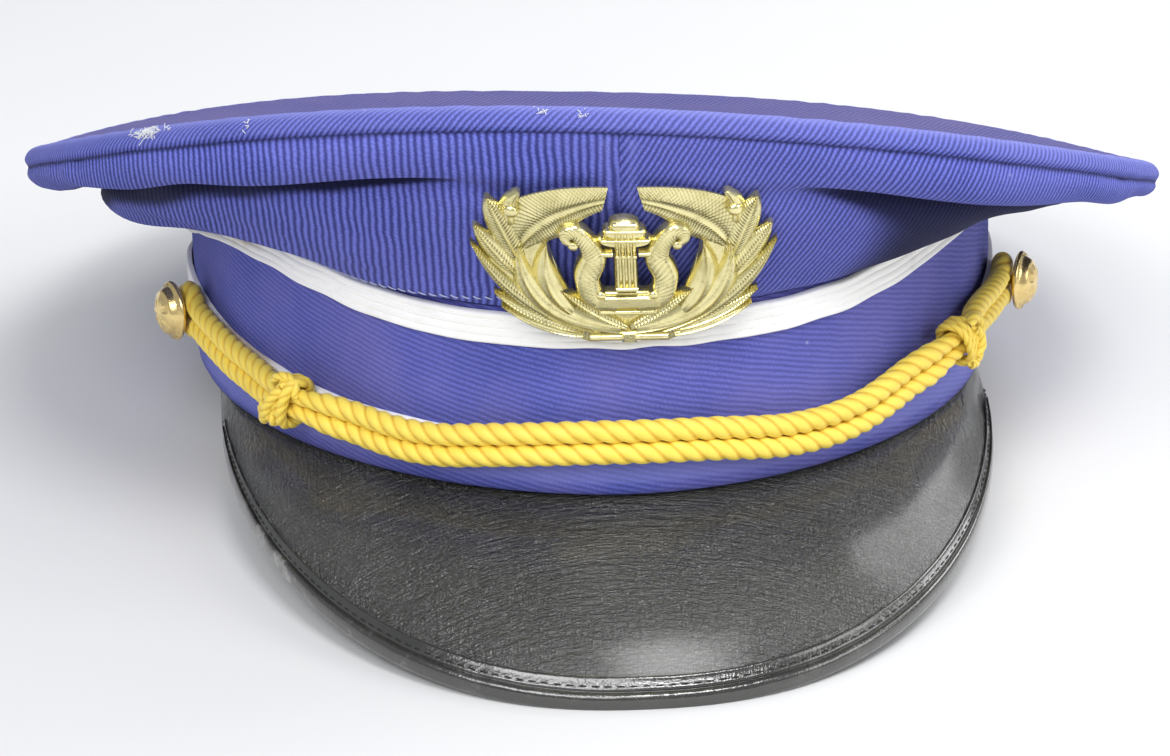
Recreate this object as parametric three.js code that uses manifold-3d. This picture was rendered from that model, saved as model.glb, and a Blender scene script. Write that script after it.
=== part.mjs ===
// A peaked cap of ribbed cloth with white braid, a gold chin cord, brass buttons and a pierced
// brass badge. Millimetres, +Z up, the front towards -Y, left and right as seen from the front.
// The cap is modelled level, with the lower edge of its band at z = 0, then tipped back so that it
// rests on the rear of the band and the edge of the peak.
import * as THREE from 'three';
import { mergeVertices } from 'three/addons/utils/BufferGeometryUtils.js';
import Module from 'manifold-3d';

const wasm = await Module();
wasm.setup();

// Driving dimensions: lengths in millimetres, angles in degrees from the front, right positive.
const GAP = 0.3;
const STEPS_ROUND = 48;
const BAND = {
  halfWidth: 86.5, halfLength: 104, widestY: 16, power: 1.87,
  wall: 3, frontHeight: 35.5, templeRise: 8, templeRate: 1.5, templePower: 5, rearFall: 9.2,
};
const RIM = {
  halfWidth: 118.4, halfLength: 122.3, centreY: -2.6, rearPower: 2.5,
  height: 39.8, slope: 21.5, curl: 11.6, lean: -5.2, twist: -3,
};
const CROWN = {
  cloth: 1.6, frontBulge: 1.6, foldStart: 6, foldFull: 36, sideStart: 15, sideFull: 85,
  fullRun: 26,
};
const TOP_PLATE = { rise: 4.2, dome: 2 };
const BRAID = {
  thick: 1, bevel: 0.4, upperWidth: 6.3, upperInset: 0.7, lowerWidth: 5, lowerHeight: 9.2, lowerRise: 10,
  lowerPower: 5,
};
const PEAK = {
  halfWidth: 80.1, endY: -14, endAngle: 78, power: 2.26, thick: 1.6, bulge: 0.1,
  length: 41.6, drop: 29.2, endDrop: 2.2, dropPower: 1.28, steps: 36,
};
const BINDING = { width: 4.2, wall: 1, startSection: 2 };
const CORD = {
  radius: 2, apart: 2.05, sides: 8, stepLength: 7, knotLift: 2.7, liftSpread: 11,
  knotSqueeze: 0.25, squeezeSpread: 8,
};
const KNOT = { radius: 1.1, pitch: 2.3, lean: 16, turns: 2, play: 0.4, sides: 6, steps: 14 };
const BUTTON = {
  y: -18, height: 17.1, radius: 6.2, shank: 1.2, back: 5.3, face: 9.4, rim: 0.7, sides: 16, lean: 10,
};
const BADGE = {
  lean: 27.5, footHeight: 31.2, footOff: 2, bendRadius: 110, plate: 1.1, left: 0.6,
  acrossScale: 0.93, upScale: 0.9, sideways: -0.055, slope: -0.02,
};
const SETTLE = 0.5;

// The chin cord's route over the band: where the middle of its two strands lies.
const CORD_ROUTE = [
  { angle: -63, height: 14.9 }, { angle: -57, height: 13 }, { angle: -50, height: 11.6 },
  { angle: -40, height: 10.5 }, { angle: -33, height: 9 }, { angle: -27, height: 8.5 },
  { angle: -17, height: 10.2 }, { angle: -5, height: 11.5 }, { angle: 9, height: 11.1 },
  { angle: 22.5, height: 9 }, { angle: 30, height: 9.4 }, { angle: 38, height: 12.2 },
  { angle: 47, height: 16 }, { angle: 56, height: 17.3 }, { angle: 63, height: 17.4 },
];
const KNOT_ANGLE = { left: -45, right: 48.5 };

// The left branch of the wreath: each leaf's midrib and its half-width. The right one mirrors it.
const WREATH = [
  { root: [-20.5, 24], bend: [-18.5, 35], tip: [-3, 36.3], half: 5.2, blunt: 0.75 },
  { root: [-20.5, 21], bend: [-24, 30], tip: [-25.8, 36], half: 2.8, blunt: 0.2 },
  { root: [-21, 17], bend: [-26, 23], tip: [-28.6, 28.4], half: 2.3, blunt: 0.3 },
  { root: [-3, 2.2], bend: [-22, 6], tip: [-29.6, 24.2], half: 2.4, blunt: 0.1 },
  { root: [-10, 3.2], bend: [-20, 5.5], tip: [-25.7, 12], half: 1.7, blunt: 0.1 },
  { root: [-9, 2], bend: [-18, 2.6], tip: [-24.5, 8.6], half: 1.4, blunt: 0.1 },
  { root: [-0.7, 3.4], bend: [-21.5, 5], tip: [-20.4, 25], half: 3.1, blunt: 0.3 },
  { root: [-11, 8.5], bend: [-17.5, 14.5], tip: [-15, 26.4], half: 2.3, blunt: 0.1 },
  { root: [-0.5, 4.6], bend: [-7.5, 8.6], tip: [-12.4, 14], half: 1.6, blunt: 0.2 },
];
const LYRE_ARM = [[-2, 10.6], [-6, 11.8], [-7.6, 17.2], [-6.2, 23.6], [-7.6, 27.2], [-9.8, 29.8]];

const radians = THREE.MathUtils.degToRad;
const signedPower = (value, power) => Math.sign(value) * Math.abs(value) ** power;

// Turns corner points and triangles into a closed body: shared corners are welded, collapsed
// triangles dropped, and the faces turned to point out.
function closedBody(points, triangles) {
  const loose = new THREE.BufferGeometry();
  loose.setAttribute('position', new THREE.Float32BufferAttribute(points.flatMap((p) => p.toArray()), 3));
  loose.setIndex(triangles.flat());
  const welded = mergeVertices(loose, 1e-3);
  const corner = (i) => new THREE.Vector3().fromBufferAttribute(welded.attributes.position, i);
  const index = Array.from(welded.index.array);
  const kept = [];
  let volume = 0;
  for (let i = 0; i < index.length; i += 3) {
    const [a, b, c] = index.slice(i, i + 3);
    if (a === b || b === c || c === a) continue;
    kept.push([a, b, c]);
    volume += corner(a).dot(corner(b).cross(corner(c)));
  }
  welded.setIndex(volume < 0 ? kept.flatMap(([a, b, c]) => [a, c, b]) : kept.flat());
  return welded;
}

// Welds a closed geometry made by one of the standard classes.
function weld(geometry) {
  const position = geometry.attributes.position;
  const points = Array.from({ length: position.count }, (_, i) => (
    new THREE.Vector3().fromBufferAttribute(position, i)));
  const order = geometry.index ? Array.from(geometry.index.array) : points.map((_, i) => i);
  const triangles = [];
  for (let i = 0; i < order.length; i += 3) triangles.push(order.slice(i, i + 3));
  return closedBody(points, triangles);
}

// A wall through a row of sections. Each section has an outer and an inner line of points, with as
// many points in every section. A closed row goes right round; an open one gets end faces.
function wallThrough(sections, closed) {
  const count = sections[0].outer.length;
  const points = sections.flatMap(({ outer, inner }) => [...outer, ...inner]);
  const outer = (i, j) => (i % sections.length) * 2 * count + j;
  const inner = (i, j) => outer(i, j) + count;
  const triangles = [];
  const quad = (a, b, c, d) => triangles.push([a, b, c], [a, c, d]);
  const spans = closed ? sections.length : sections.length - 1;
  const last = count - 1;
  for (let i = 0; i < spans; i += 1) {
    for (let j = 0; j < last; j += 1) {
      quad(outer(i, j), outer(i + 1, j), outer(i + 1, j + 1), outer(i, j + 1));
      quad(inner(i, j + 1), inner(i + 1, j + 1), inner(i + 1, j), inner(i, j));
    }
    quad(inner(i, 0), inner(i + 1, 0), outer(i + 1, 0), outer(i, 0));
    quad(outer(i, last), outer(i + 1, last), inner(i + 1, last), inner(i, last));
  }
  for (let j = 0; j < last && !closed; j += 1) {
    quad(outer(0, j), outer(0, j + 1), inner(0, j + 1), inner(0, j));
    quad(outer(spans, j + 1), outer(spans, j), inner(spans, j), inner(spans, j + 1));
  }
  return closedBody(points, triangles);
}

function toSolid(geometry) {
  const body = weld(geometry);
  return new wasm.Manifold(new wasm.Mesh({
    numProp: 3,
    vertProperties: new Float32Array(body.attributes.position.array),
    triVerts: new Uint32Array(body.index.array),
  }));
}

function toGeometry(solid) {
  const { vertProperties, triVerts } = solid.getMesh();
  const geometry = new THREE.BufferGeometry();
  geometry.setAttribute('position', new THREE.BufferAttribute(new Float32Array(vertProperties), 3));
  geometry.setIndex(new THREE.BufferAttribute(new Uint32Array(triVerts), 1));
  return geometry;
}

const joined = (geometries) => toGeometry(geometries.map(toSolid).reduce((all, next) => all.add(next)));

// The band's plan: an egg, widest behind its middle, at a distance outside the band's outer face.
function bandPoint(angle, height, off = 0) {
  const ahead = Math.cos(angle);
  const halfLength = BAND.halfLength + Math.sign(ahead) * BAND.widestY + off;
  return new THREE.Vector3(
    signedPower(Math.sin(angle), 2 / BAND.power) * (BAND.halfWidth + off),
    BAND.widestY - signedPower(ahead, 2 / BAND.power) * halfLength,
    height,
  );
}

// The band is tallest at the temples and lowest at the rear.
const bandTop = (angle) => BAND.frontHeight - BAND.rearFall * ((1 - Math.cos(angle)) / 2) ** 1.3
  + BAND.templeRise * Math.sin(Math.min(BAND.templeRate * Math.abs(angle), Math.PI)) ** BAND.templePower;

// Height of the stretched top at a share of the way across and forward. The rim runs round its edge.
const rimSurface = (across, forward) => RIM.height + RIM.slope * forward + RIM.curl * forward ** 2
  + RIM.lean * across + (RIM.twist * across * forward * (1 + forward)) / 2;

function rimPoint(angle, share = 1, rise = 0) {
  const power = Math.cos(angle) < 0 ? 2 / RIM.rearPower : 1;
  const across = signedPower(Math.sin(angle), power) * share;
  const forward = signedPower(Math.cos(angle), power) * share;
  return new THREE.Vector3(
    RIM.halfWidth * across,
    RIM.centreY - RIM.halfLength * forward,
    rimSurface(across, forward) + TOP_PLATE.dome * (1 - share ** 2) + rise,
  );
}

// What lies over the lower braid starts here, measured from the band's outer face.
const overBraid = 2 * GAP + BRAID.thick;

// Even steps round the cap, but for the one at the front, which lies on the crown's front seam.
const FRONT_SEAM = -1.5;
const roundAngles = Array.from({ length: STEPS_ROUND }, (_, i) => (
  2 * i === STEPS_ROUND ? radians(FRONT_SEAM) : ((2 * i) / STEPS_ROUND - 1) * Math.PI));

function bandGeometry() {
  const sections = roundAngles.map((angle) => ({
    outer: [bandPoint(angle, 0), bandPoint(angle, bandTop(angle))],
    inner: [bandPoint(angle, 0, -BAND.wall), bandPoint(angle, bandTop(angle), -BAND.wall)],
  }));
  return wallThrough(sections, true);
}

function braidGeometry(width, middle) {
  const faceOff = GAP + BRAID.thick;
  const sections = roundAngles.map((angle) => {
    const low = middle(angle) - width / 2;
    const high = low + width;
    return {
      outer: [bandPoint(angle, low + BRAID.bevel, faceOff), bandPoint(angle, high - BRAID.bevel, faceOff)],
      inner: [bandPoint(angle, low, GAP), bandPoint(angle, high, GAP)],
    };
  });
  return wallThrough(sections, true);
}

// A side panel's line from the band to the rim seam, as pairs of run out and rise. At the front it
// is one smooth slope. Elsewhere it sags past the band, folds in under the rim and rolls out again.
const SLOPE_SHARES = [0, 0.06, 0.25, 0.45, 0.6, 0.7, 0.79, 0.86, 0.94, 1];
const CLEAR_OF_BRAID = [2.6, 0.2];

// The roll under the rim seam, as pairs of run out and rise from the seam, and the panel's sag.
const ROLL = {
  front: {
    mid: [1, -4], low: [-0.4, -7.8], foot: [-3.6, -9.8], fold: [-8.5, -6], lip: [-8.4, -11.2],
    sag: 3.5,
  },
  left: {
    mid: [-0.3, -2], low: [-2, -4], foot: [-6, -5.5], fold: [-17.5, -3.8], lip: [-16.5, -8.4],
    sag: 5.5,
  },
  right: {
    mid: [-0.1, -0.9], low: [-1.5, -2], foot: [-7, -3.2], fold: [-20.5, -1.5], lip: [-20, -4.4],
    sag: -1.2,
  },
};

const between = (a, b, share) => (Array.isArray(a)
  ? a.map((value, i) => THREE.MathUtils.lerp(value, b[i], share)) : THREE.MathUtils.lerp(a, b, share));

function rollAt(angle) {
  const turn = Math.abs(THREE.MathUtils.radToDeg(angle));
  const sideways = THREE.MathUtils.smoothstep(turn, CROWN.sideStart, CROWN.sideFull);
  const rightwards = (1 + Math.sin(angle)) / 2;
  return Object.fromEntries(Object.keys(ROLL.front).map((name) => [
    name, between(ROLL.front[name], between(ROLL.left[name], ROLL.right[name], rightwards), sideways)]));
}

function panelLine(angle) {
  const seam = rimPoint(angle);
  const foot = bandPoint(angle, bandTop(angle) + GAP);
  const run = Math.hypot(seam.x - foot.x, seam.y - foot.y);
  const rise = seam.z - foot.z;
  const slope = Math.hypot(run, rise);
  const smooth = SLOPE_SHARES.map((share) => {
    const bulge = CROWN.frontBulge * Math.sin(Math.PI * share);
    return [run * share + (bulge * rise) / slope, rise * share - (bulge * run) / slope];
  });
  const roll = rollAt(angle);
  const room = Math.min(run / CROWN.fullRun, 1);
  const fromSeam = ([out, up]) => [run + out * room, rise + up];
  const lip = fromSeam(roll.lip);
  const sag = (share, depth) => [lip[0] * share, lip[1] * share - roll.sag * depth];
  const folded = [
    [0, 0], CLEAR_OF_BRAID, sag(0.3, 1), sag(0.66, 1), lip, fromSeam(roll.fold),
    fromSeam(roll.foot), fromSeam(roll.low), fromSeam(roll.mid), [run, rise],
  ];
  const turn = Math.abs(THREE.MathUtils.radToDeg(angle));
  const blend = THREE.MathUtils.smoothstep(turn, CROWN.foldStart, CROWN.foldFull);
  return smooth.map((pair, i) => new THREE.Vector2(...between(pair, folded[i], blend)));
}

// Moves a line sideways, to the left of its direction.
function besideLine(line, distance) {
  return line.map((point, i) => {
    const before = line[Math.max(i - 1, 0)];
    const after = line[Math.min(i + 1, line.length - 1)];
    const into = point.clone().sub(before).normalize();
    const out = after.clone().sub(point).normalize();
    const along = into.add(out).normalize();
    return new THREE.Vector2(point.x - along.y * distance, point.y + along.x * distance);
  });
}

function panelGeometry(fromAngle, toAngle) {
  const seamHalf = GAP / 2 / BAND.halfLength;
  const [start, end] = [fromAngle + seamHalf, toAngle - seamHalf];
  const inside = roundAngles.filter((angle) => angle > start + seamHalf && angle < end - seamHalf);
  const sections = [start, ...inside, end].map((angle) => {
    const foot = bandPoint(angle, bandTop(angle) + GAP);
    const outward = rimPoint(angle).sub(foot).setZ(0).normalize();
    const place = ({ x, y }) => foot.clone().addScaledVector(outward, x).add(new THREE.Vector3(0, 0, y));
    const line = panelLine(angle);
    return { outer: line.map(place), inner: besideLine(line, CROWN.cloth).map(place) };
  });
  return wallThrough(sections, false);
}

// The top plate: its edge rolls over the rim down to the seam. Shares are of the rim's radius.
const TOP_EDGE_LINE = [[0, GAP], [0.3, 1.6], [-0.7, 3.2], [-2.4, 4]];
const TOP_SHARES = [0.95, 0.72, 0.4, 0];

function crownTopGeometry() {
  const sections = roundAngles.map((angle) => {
    const seam = rimPoint(angle);
    const outward = new THREE.Vector3(Math.sin(angle), -Math.cos(angle), 0);
    const place = ([out, up]) => seam.clone().addScaledVector(outward, out).setZ(seam.z + up);
    const edge = TOP_EDGE_LINE.map(([out, up]) => new THREE.Vector2(out, up));
    const level = (rise) => TOP_SHARES.map((share) => rimPoint(angle, share, rise));
    return {
      outer: [...TOP_EDGE_LINE.map(place), ...level(TOP_PLATE.rise)],
      inner: [
        ...besideLine(edge, CROWN.cloth).map(({ x, y }) => place([x, Math.max(y, GAP)])),
        ...level(TOP_PLATE.rise - CROWN.cloth),
      ],
    };
  });
  return wallThrough(sections, true);
}

// The peak's free edge, its inner edge under the band, and the directions of its sheet there.
function peakFrame(share) {
  const inner = bandPoint(radians(PEAK.endAngle) * share, -GAP, -BAND.wall);
  const turn = (Math.PI / 2) * share;
  const ahead = Math.max(Math.cos(turn), 0);
  const reach = Math.sqrt(PEAK.length ** 2 - PEAK.drop ** 2);
  const halfLength = BAND.halfLength + reach + PEAK.endY;
  const edge = new THREE.Vector3(
    signedPower(Math.sin(turn), 2 / PEAK.power) * PEAK.halfWidth,
    PEAK.endY - ahead ** (2 / PEAK.power) * halfLength,
    -(PEAK.endDrop + (PEAK.drop - PEAK.endDrop) * ahead ** PEAK.dropPower),
  );
  const along = edge.clone().sub(inner);
  const flat = Math.hypot(along.x, along.y);
  const up = new THREE.Vector3(-along.x * along.z, -along.y * along.z, flat ** 2).normalize();
  return { inner, edge, along, up };
}

// Shares along the peak from left to right, closer together at its ends.
const peakPlaces = Array.from({ length: PEAK.steps + 1 }, (_, i) => {
  const even = (2 * i) / PEAK.steps - 1;
  return Math.sign(even) * (1 - (1 - Math.abs(even)) ** 1.8);
});

const PEAK_SHARES = [0, 0.2, 0.45, 0.7, 0.88, 1];

function peakPoint({ inner, along, up }, share, depth) {
  const bulge = PEAK.bulge * Math.abs(along.z) * 4 * share * (1 - share);
  return inner.clone().addScaledVector(along, share).addScaledVector(up, bulge - depth);
}

function peakGeometry() {
  const sections = peakPlaces.map((place) => {
    const frame = peakFrame(place);
    return {
      outer: PEAK_SHARES.map((share) => peakPoint(frame, share, 0)),
      inner: PEAK_SHARES.map((share) => peakPoint(frame, share, PEAK.thick)),
    };
  });
  return wallThrough(sections, false);
}

// The binding folds round the free edge: pairs of distance in from the edge and above the sheet.
function bindingSection(place) {
  const frame = peakFrame(place);
  const length = frame.along.length();
  const width = Math.min(BINDING.width, length * 0.6);
  const slotTop = GAP;
  const slotBottom = -PEAK.thick - GAP;
  const middle = -PEAK.thick / 2;
  const shoulder = BINDING.wall * 0.4;
  const fold = [[width, slotTop + BINDING.wall], [shoulder, slotTop + BINDING.wall],
    [-GAP - BINDING.wall, middle], [shoulder, slotBottom - BINDING.wall], [width, slotBottom - BINDING.wall]];
  const slot = [[width, slotTop], [-GAP, slotTop], [-GAP, middle], [-GAP, slotBottom], [width, slotBottom]];
  const onSheet = ([inside, above]) => peakPoint(frame, 1 - inside / length, -above);
  return { outer: fold.map(onSheet), inner: slot.map(onSheet) };
}

function bindingGeometry() {
  const bound = peakPlaces.slice(BINDING.startSection, -BINDING.startSection);
  return wallThrough(bound.map(bindingSection), false);
}

// Distances round the band's outer face, from the front, so that the cord's loop keeps its form.
const ARC_STEP = radians(0.5);
const arcTable = [0];
for (let i = 1; i * ARC_STEP < Math.PI / 2; i += 1) {
  const chord = bandPoint(i * ARC_STEP, 0).distanceTo(bandPoint((i - 1) * ARC_STEP, 0));
  arcTable.push(arcTable[i - 1] + chord);
}
const arcOf = (angle) => {
  const steps = Math.abs(angle) / ARC_STEP;
  const low = Math.min(Math.floor(steps), arcTable.length - 2);
  return Math.sign(angle) * THREE.MathUtils.lerp(arcTable[low], arcTable[low + 1], steps - low);
};
const angleOf = (arc) => {
  const high = arcTable.findIndex((length) => length >= Math.abs(arc));
  const low = high - 1;
  const share = (Math.abs(arc) - arcTable[low]) / (arcTable[high] - arcTable[low]);
  return Math.sign(arc) * (low + share) * ARC_STEP;
};
const buttonAhead = (BAND.widestY - BUTTON.y) / (BAND.halfLength + BAND.widestY);
const buttonAngle = Math.acos(buttonAhead ** (BAND.power / 2));

// 1 at the slide knots and for a little way beside them, then falling off.
const nearKnot = (arc, spread) => Math.max(...Object.values(KNOT_ANGLE).map((angle) => (
  Math.exp(-(((arc - arcOf(radians(angle))) / spread) ** 4)))));

// The knots draw the strands together and lift them off the band.
const squeezed = (arc) => 1 - CORD.knotSqueeze * nearKnot(arc, CORD.squeezeSpread);
const cordOff = (arc) => overBraid + CORD.radius * squeezed(arc)
  + CORD.knotLift * nearKnot(arc, CORD.liftSpread);
const onBand = ({ x, y }) => bandPoint(angleOf(x), y, cordOff(x));
const cordMiddle = new THREE.SplineCurve([
  new THREE.Vector2(-arcOf(buttonAngle), BUTTON.height),
  ...CORD_ROUTE.map(({ angle, height }) => new THREE.Vector2(arcOf(radians(angle)), height)),
  new THREE.Vector2(arcOf(buttonAngle), BUTTON.height),
]);

// One closed loop: along the upper strand, round a button's shank, back along the lower strand.
function cordRoute() {
  const turnRadius = BUTTON.shank + GAP + CORD.radius;
  const length = cordMiddle.getLength();
  const steps = Math.round(length / CORD.stepLength);
  const inset = (2 * turnRadius) / length;
  const strand = (side) => Array.from({ length: steps + 1 }, (_, i) => {
    const share = THREE.MathUtils.lerp(inset, 1 - inset, i / steps);
    const along = cordMiddle.getTangentAt(share);
    const middle = cordMiddle.getPointAt(share);
    const apart = side * squeezed(middle.x);
    return new THREE.Vector2(middle.x - along.y * apart, middle.y + along.x * apart);
  });
  const turn = (right) => {
    const share = right ? 1 : 0;
    const centre = cordMiddle.getPointAt(share);
    const along = cordMiddle.getTangentAt(share);
    const heading = Math.atan2(along.y, along.x) + (right ? 0 : Math.PI);
    return [84, 42, 0, -42, -84].map((angle) => {
      const bearing = heading + radians(angle);
      return new THREE.Vector2(Math.cos(bearing), Math.sin(bearing)).multiplyScalar(turnRadius).add(centre);
    });
  };
  return [...strand(CORD.apart), ...turn(true), ...strand(-CORD.apart).reverse(), ...turn(false)];
}

function cordGeometry() {
  const route = cordRoute();
  const loop = new THREE.CatmullRomCurve3(route.map(onBand), true, 'centripetal');
  const half = CORD.sides / 2;
  const sections = route.map(({ x }, i) => {
    const angle = angleOf(x);
    const middle = loop.getPoint(i / route.length);
    const outward = bandPoint(angle, 0, 10).sub(bandPoint(angle, 0)).normalize();
    const across = loop.getTangent(i / route.length).cross(outward).normalize();
    const radius = CORD.radius * squeezed(x);
    const ring = (k) => {
      const turn = (k / CORD.sides) * 2 * Math.PI;
      return middle.clone().addScaledVector(across, Math.cos(turn) * radius)
        .addScaledVector(outward, Math.sin(turn) * radius);
    };
    const places = Array.from({ length: half }, (_, k) => k);
    return { outer: places.map(ring), inner: places.map((k) => ring(CORD.sides - 1 - k)) };
  });
  return wallThrough(sections, true);
}

// A slide knot: turns of cord wound round both strands, each turn leaning the other way.
function knotGeometry(angle) {
  const arc = arcOf(radians(angle));
  const share = (arc + arcOf(buttonAngle)) / (2 * arcOf(buttonAngle));
  const spots = Array.from({ length: 201 }, (_, i) => i / 200);
  const missed = (spot) => Math.abs(cordMiddle.getPoint(spot).x - arc);
  const nearest = spots.reduce((best, spot) => (missed(spot) < missed(best) ? spot : best), share);
  const middle = cordMiddle.getPoint(nearest);
  const along2 = cordMiddle.getTangent(nearest);
  const centre = onBand(middle);
  const ahead = onBand(middle.clone().addScaledVector(along2, 1));
  const along = ahead.sub(centre).normalize();
  const outward = bandPoint(radians(angle), 0, 10).sub(bandPoint(radians(angle), 0)).normalize();
  const across = new THREE.Vector3().crossVectors(along, outward).normalize();
  const out = new THREE.Vector3().crossVectors(across, along).normalize();
  const halfWide = (CORD.apart + CORD.radius) * squeezed(arc) + KNOT.play + KNOT.radius;
  const halfThick = CORD.radius * squeezed(arc) + KNOT.play + KNOT.radius;
  const turns = Array.from({ length: KNOT.turns }, (_, i) => {
    const shift = (i - (KNOT.turns - 1) / 2) * KNOT.pitch;
    const slant = Math.tan(radians(i % 2 ? -KNOT.lean : KNOT.lean));
    const ring = Array.from({ length: 12 }, (_, k) => {
      const turn = (k / 12) * 2 * Math.PI;
      const wide = signedPower(Math.cos(turn), 0.7) * halfWide;
      const thick = signedPower(Math.sin(turn), 0.7) * halfThick;
      return centre.clone().addScaledVector(across, wide).addScaledVector(out, thick)
        .addScaledVector(along, shift + wide * slant);
    });
    const curve = new THREE.CatmullRomCurve3(ring, true, 'centripetal');
    return new THREE.TubeGeometry(curve, KNOT.steps, KNOT.radius, KNOT.sides, true);
  });
  return joined(turns);
}

// A domed button on a shank, turned about its axis, with the axis along +Y here.
function buttonGeometry() {
  const { radius, shank, back, face, rim } = BUTTON;
  const profile = [
    [0, 0], [shank, 0], [shank, back], [radius - rim, back], [radius, back + rim], [radius, back + 2 * rim],
    [radius - rim, back + 2.6 * rim], [radius - 2 * rim, back + 2.4 * rim],
    [radius * 0.5, face - 0.5], [0, face],
  ].map(([out, along]) => new THREE.Vector2(out, along));
  return weld(new THREE.LatheGeometry(profile, BUTTON.sides));
}

// A raised strip of the badge along a flat curve: a ridge over a thin plate.
function ridge(curve, steps, halfAt, height, mirrored) {
  const sections = [];
  for (let i = 0; i <= steps; i += 1) {
    const share = i / steps;
    const middle = curve.getPoint(share);
    const along = curve.getTangent(share);
    const half = halfAt(share);
    const place = (side, up) => {
      const x = middle.x - along.y * side;
      const y = middle.y + along.x * side;
      return new THREE.Vector3(mirrored ? -x : x, y, up);
    };
    sections.push({
      outer: [place(-half, BADGE.plate), place(0, height), place(half, BADGE.plate)],
      inner: [place(-half, 0), place(0, 0), place(half, 0)],
    });
  }
  return wallThrough(sections, false);
}

function leafRidges(mirrored) {
  const flat = ([x, y]) => new THREE.Vector2(x, y);
  return WREATH.map(({ root, bend, tip, half, blunt }, i) => {
    const curve = new THREE.QuadraticBezierCurve(flat(root), flat(bend), flat(tip));
    const halfAt = (share) => {
      const swell = Math.sin(Math.PI * Math.min(0.16 + 0.84 * share, 1)) ** 0.75;
      return half * Math.max(swell, share > 0.5 ? blunt * (2 - share) * 0.8 : 0.25);
    };
    return ridge(curve, 5, halfAt, BADGE.plate + 1 + 0.07 * i, mirrored);
  });
}

function raisedPlate(corners, height) {
  const shape = new THREE.Shape(corners.map(([x, y]) => new THREE.Vector2(x, y)));
  return new THREE.ExtrudeGeometry(shape, { depth: height, bevelEnabled: false });
}

const rectangle = (half, low, high) => [[-half, low], [half, low], [half, high], [-half, high]];

function lyreParts() {
  const arm = new THREE.SplineCurve(LYRE_ARM.map(([x, y]) => new THREE.Vector2(x, y)));
  const armHalf = (share) => 1.5 + Math.sin(Math.PI * Math.min(share * 1.25, 1));
  const crest = [[-5.6, 25.4], [5.6, 25.4], [5.6, 29], [3.9, 31.9],
    [2.6, 33.2], [-2.6, 33.2], [-3.9, 31.9], [-5.6, 29]];
  const base = [[-8.6, 11.4], [-5, 7.7], [5, 7.7], [8.6, 11.4], [5, 14], [-5, 14]];
  const strings = [-1.65, -0.55, 0.55, 1.65].map((x) => (
    raisedPlate(rectangle(0.28, 15, 29), BADGE.plate + 0.9).translate(x, 0, 0)));
  return [
    ridge(arm, 9, armHalf, BADGE.plate + 1.6, false),
    ridge(arm, 9, armHalf, BADGE.plate + 1.6, true),
    raisedPlate(crest, BADGE.plate + 0.7),
    raisedPlate(base, BADGE.plate + 0.8),
    raisedPlate(rectangle(2.3, 13, 26), BADGE.plate + 0.2),
    raisedPlate(rectangle(5.6, 24.2, 25.4), BADGE.plate + 1.3),
    ...strings,
  ];
}

function badgeGeometry() {
  const knot = raisedPlate(rectangle(1.6, 1.4, 4.6), BADGE.plate + 1.8);
  const foot = raisedPlate([[-11, 1.6], [-8, 0], [8, 0], [11, 1.6], [7, 9], [-7, 9]], BADGE.plate + 0.3);
  const badge = joined([foot, knot, ...leafRidges(false), ...leafRidges(true), ...lyreParts()]);
  const position = badge.attributes.position;
  badge.scale(BADGE.acrossScale, BADGE.upScale, 1);
  badge.applyMatrix4(new THREE.Matrix4().makeShear(0, 0, BADGE.sideways, 0, 0, 0));
  badge.applyMatrix4(new THREE.Matrix4().makeShear(BADGE.slope, 0, 0, 0, 0, 0));
  for (let i = 0; i < position.count; i += 1) {
    position.setZ(i, position.getZ(i) - position.getX(i) ** 2 / (2 * BADGE.bendRadius));
  }
  return badge;
}

// The tilt at rest: the steepest line from the rear of the band to the front of the binding.
const rearY = BAND.halfLength;
const frontPoints = bindingSection(0).outer;
const restTilt = Math.max(...frontPoints.map(({ y, z }) => Math.atan2(-z, rearY - y)));
const restPlacing = new THREE.Matrix4().makeRotationX(-restTilt)
  .premultiply(new THREE.Matrix4().makeTranslation(0, 0, rearY * Math.sin(restTilt) - SETTLE));

// What presses on the surface is flat there.
function flattened(geometry) {
  const ground = new THREE.BoxGeometry(600, 600, 40).translate(0, 0, -20);
  return toGeometry(toSolid(geometry).subtract(toSolid(ground.applyMatrix4(restPlacing.clone().invert()))));
}

const finish = (color, roughness, metalness) => () => (
  new THREE.MeshStandardMaterial({ color, roughness, metalness }));
const cloth = finish(0x3f3a94, 0.9, 0);
const whiteBraid = finish(0xe8e4d8, 0.75, 0);
const blackVinyl = finish(0x15150f, 0.3, 0);
const goldCord = finish(0xe0a818, 0.55, 0);
const brass = finish(0xb8a250, 0.35, 1);

const cap = new THREE.Group();
function piece(name, geometry, material) {
  const mesh = new THREE.Mesh(geometry, material());
  mesh.name = name;
  cap.add(mesh);
  return mesh;
}

const QUARTERS = {
  rear_left: [-180, -90], front_left: [-90, FRONT_SEAM], front_right: [FRONT_SEAM, 90], rear_right: [90, 180],
};
for (const [name, [start, end]] of Object.entries(QUARTERS)) {
  piece(`quarter_${name}`, panelGeometry(radians(start), radians(end)), cloth);
}
piece('crown_top', crownTopGeometry(), cloth);
piece('band', flattened(bandGeometry()), cloth);
const upperMiddle = (angle) => bandTop(angle) - BRAID.upperInset - BRAID.upperWidth / 2;
const lowerMiddle = (angle) => BRAID.lowerHeight
  + BRAID.lowerRise * Math.abs(Math.sin(angle)) ** BRAID.lowerPower;
piece('braid_upper', braidGeometry(BRAID.upperWidth, upperMiddle), whiteBraid);
piece('braid_lower', braidGeometry(BRAID.lowerWidth, lowerMiddle), whiteBraid);
piece('peak', peakGeometry(), blackVinyl);
piece('peak_binding', flattened(bindingGeometry()), blackVinyl);
piece('chin_cord', cordGeometry(), goldCord);
for (const [side, angle] of Object.entries(KNOT_ANGLE)) {
  piece(`cord_knot_${side}`, knotGeometry(angle), goldCord);
}
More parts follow.
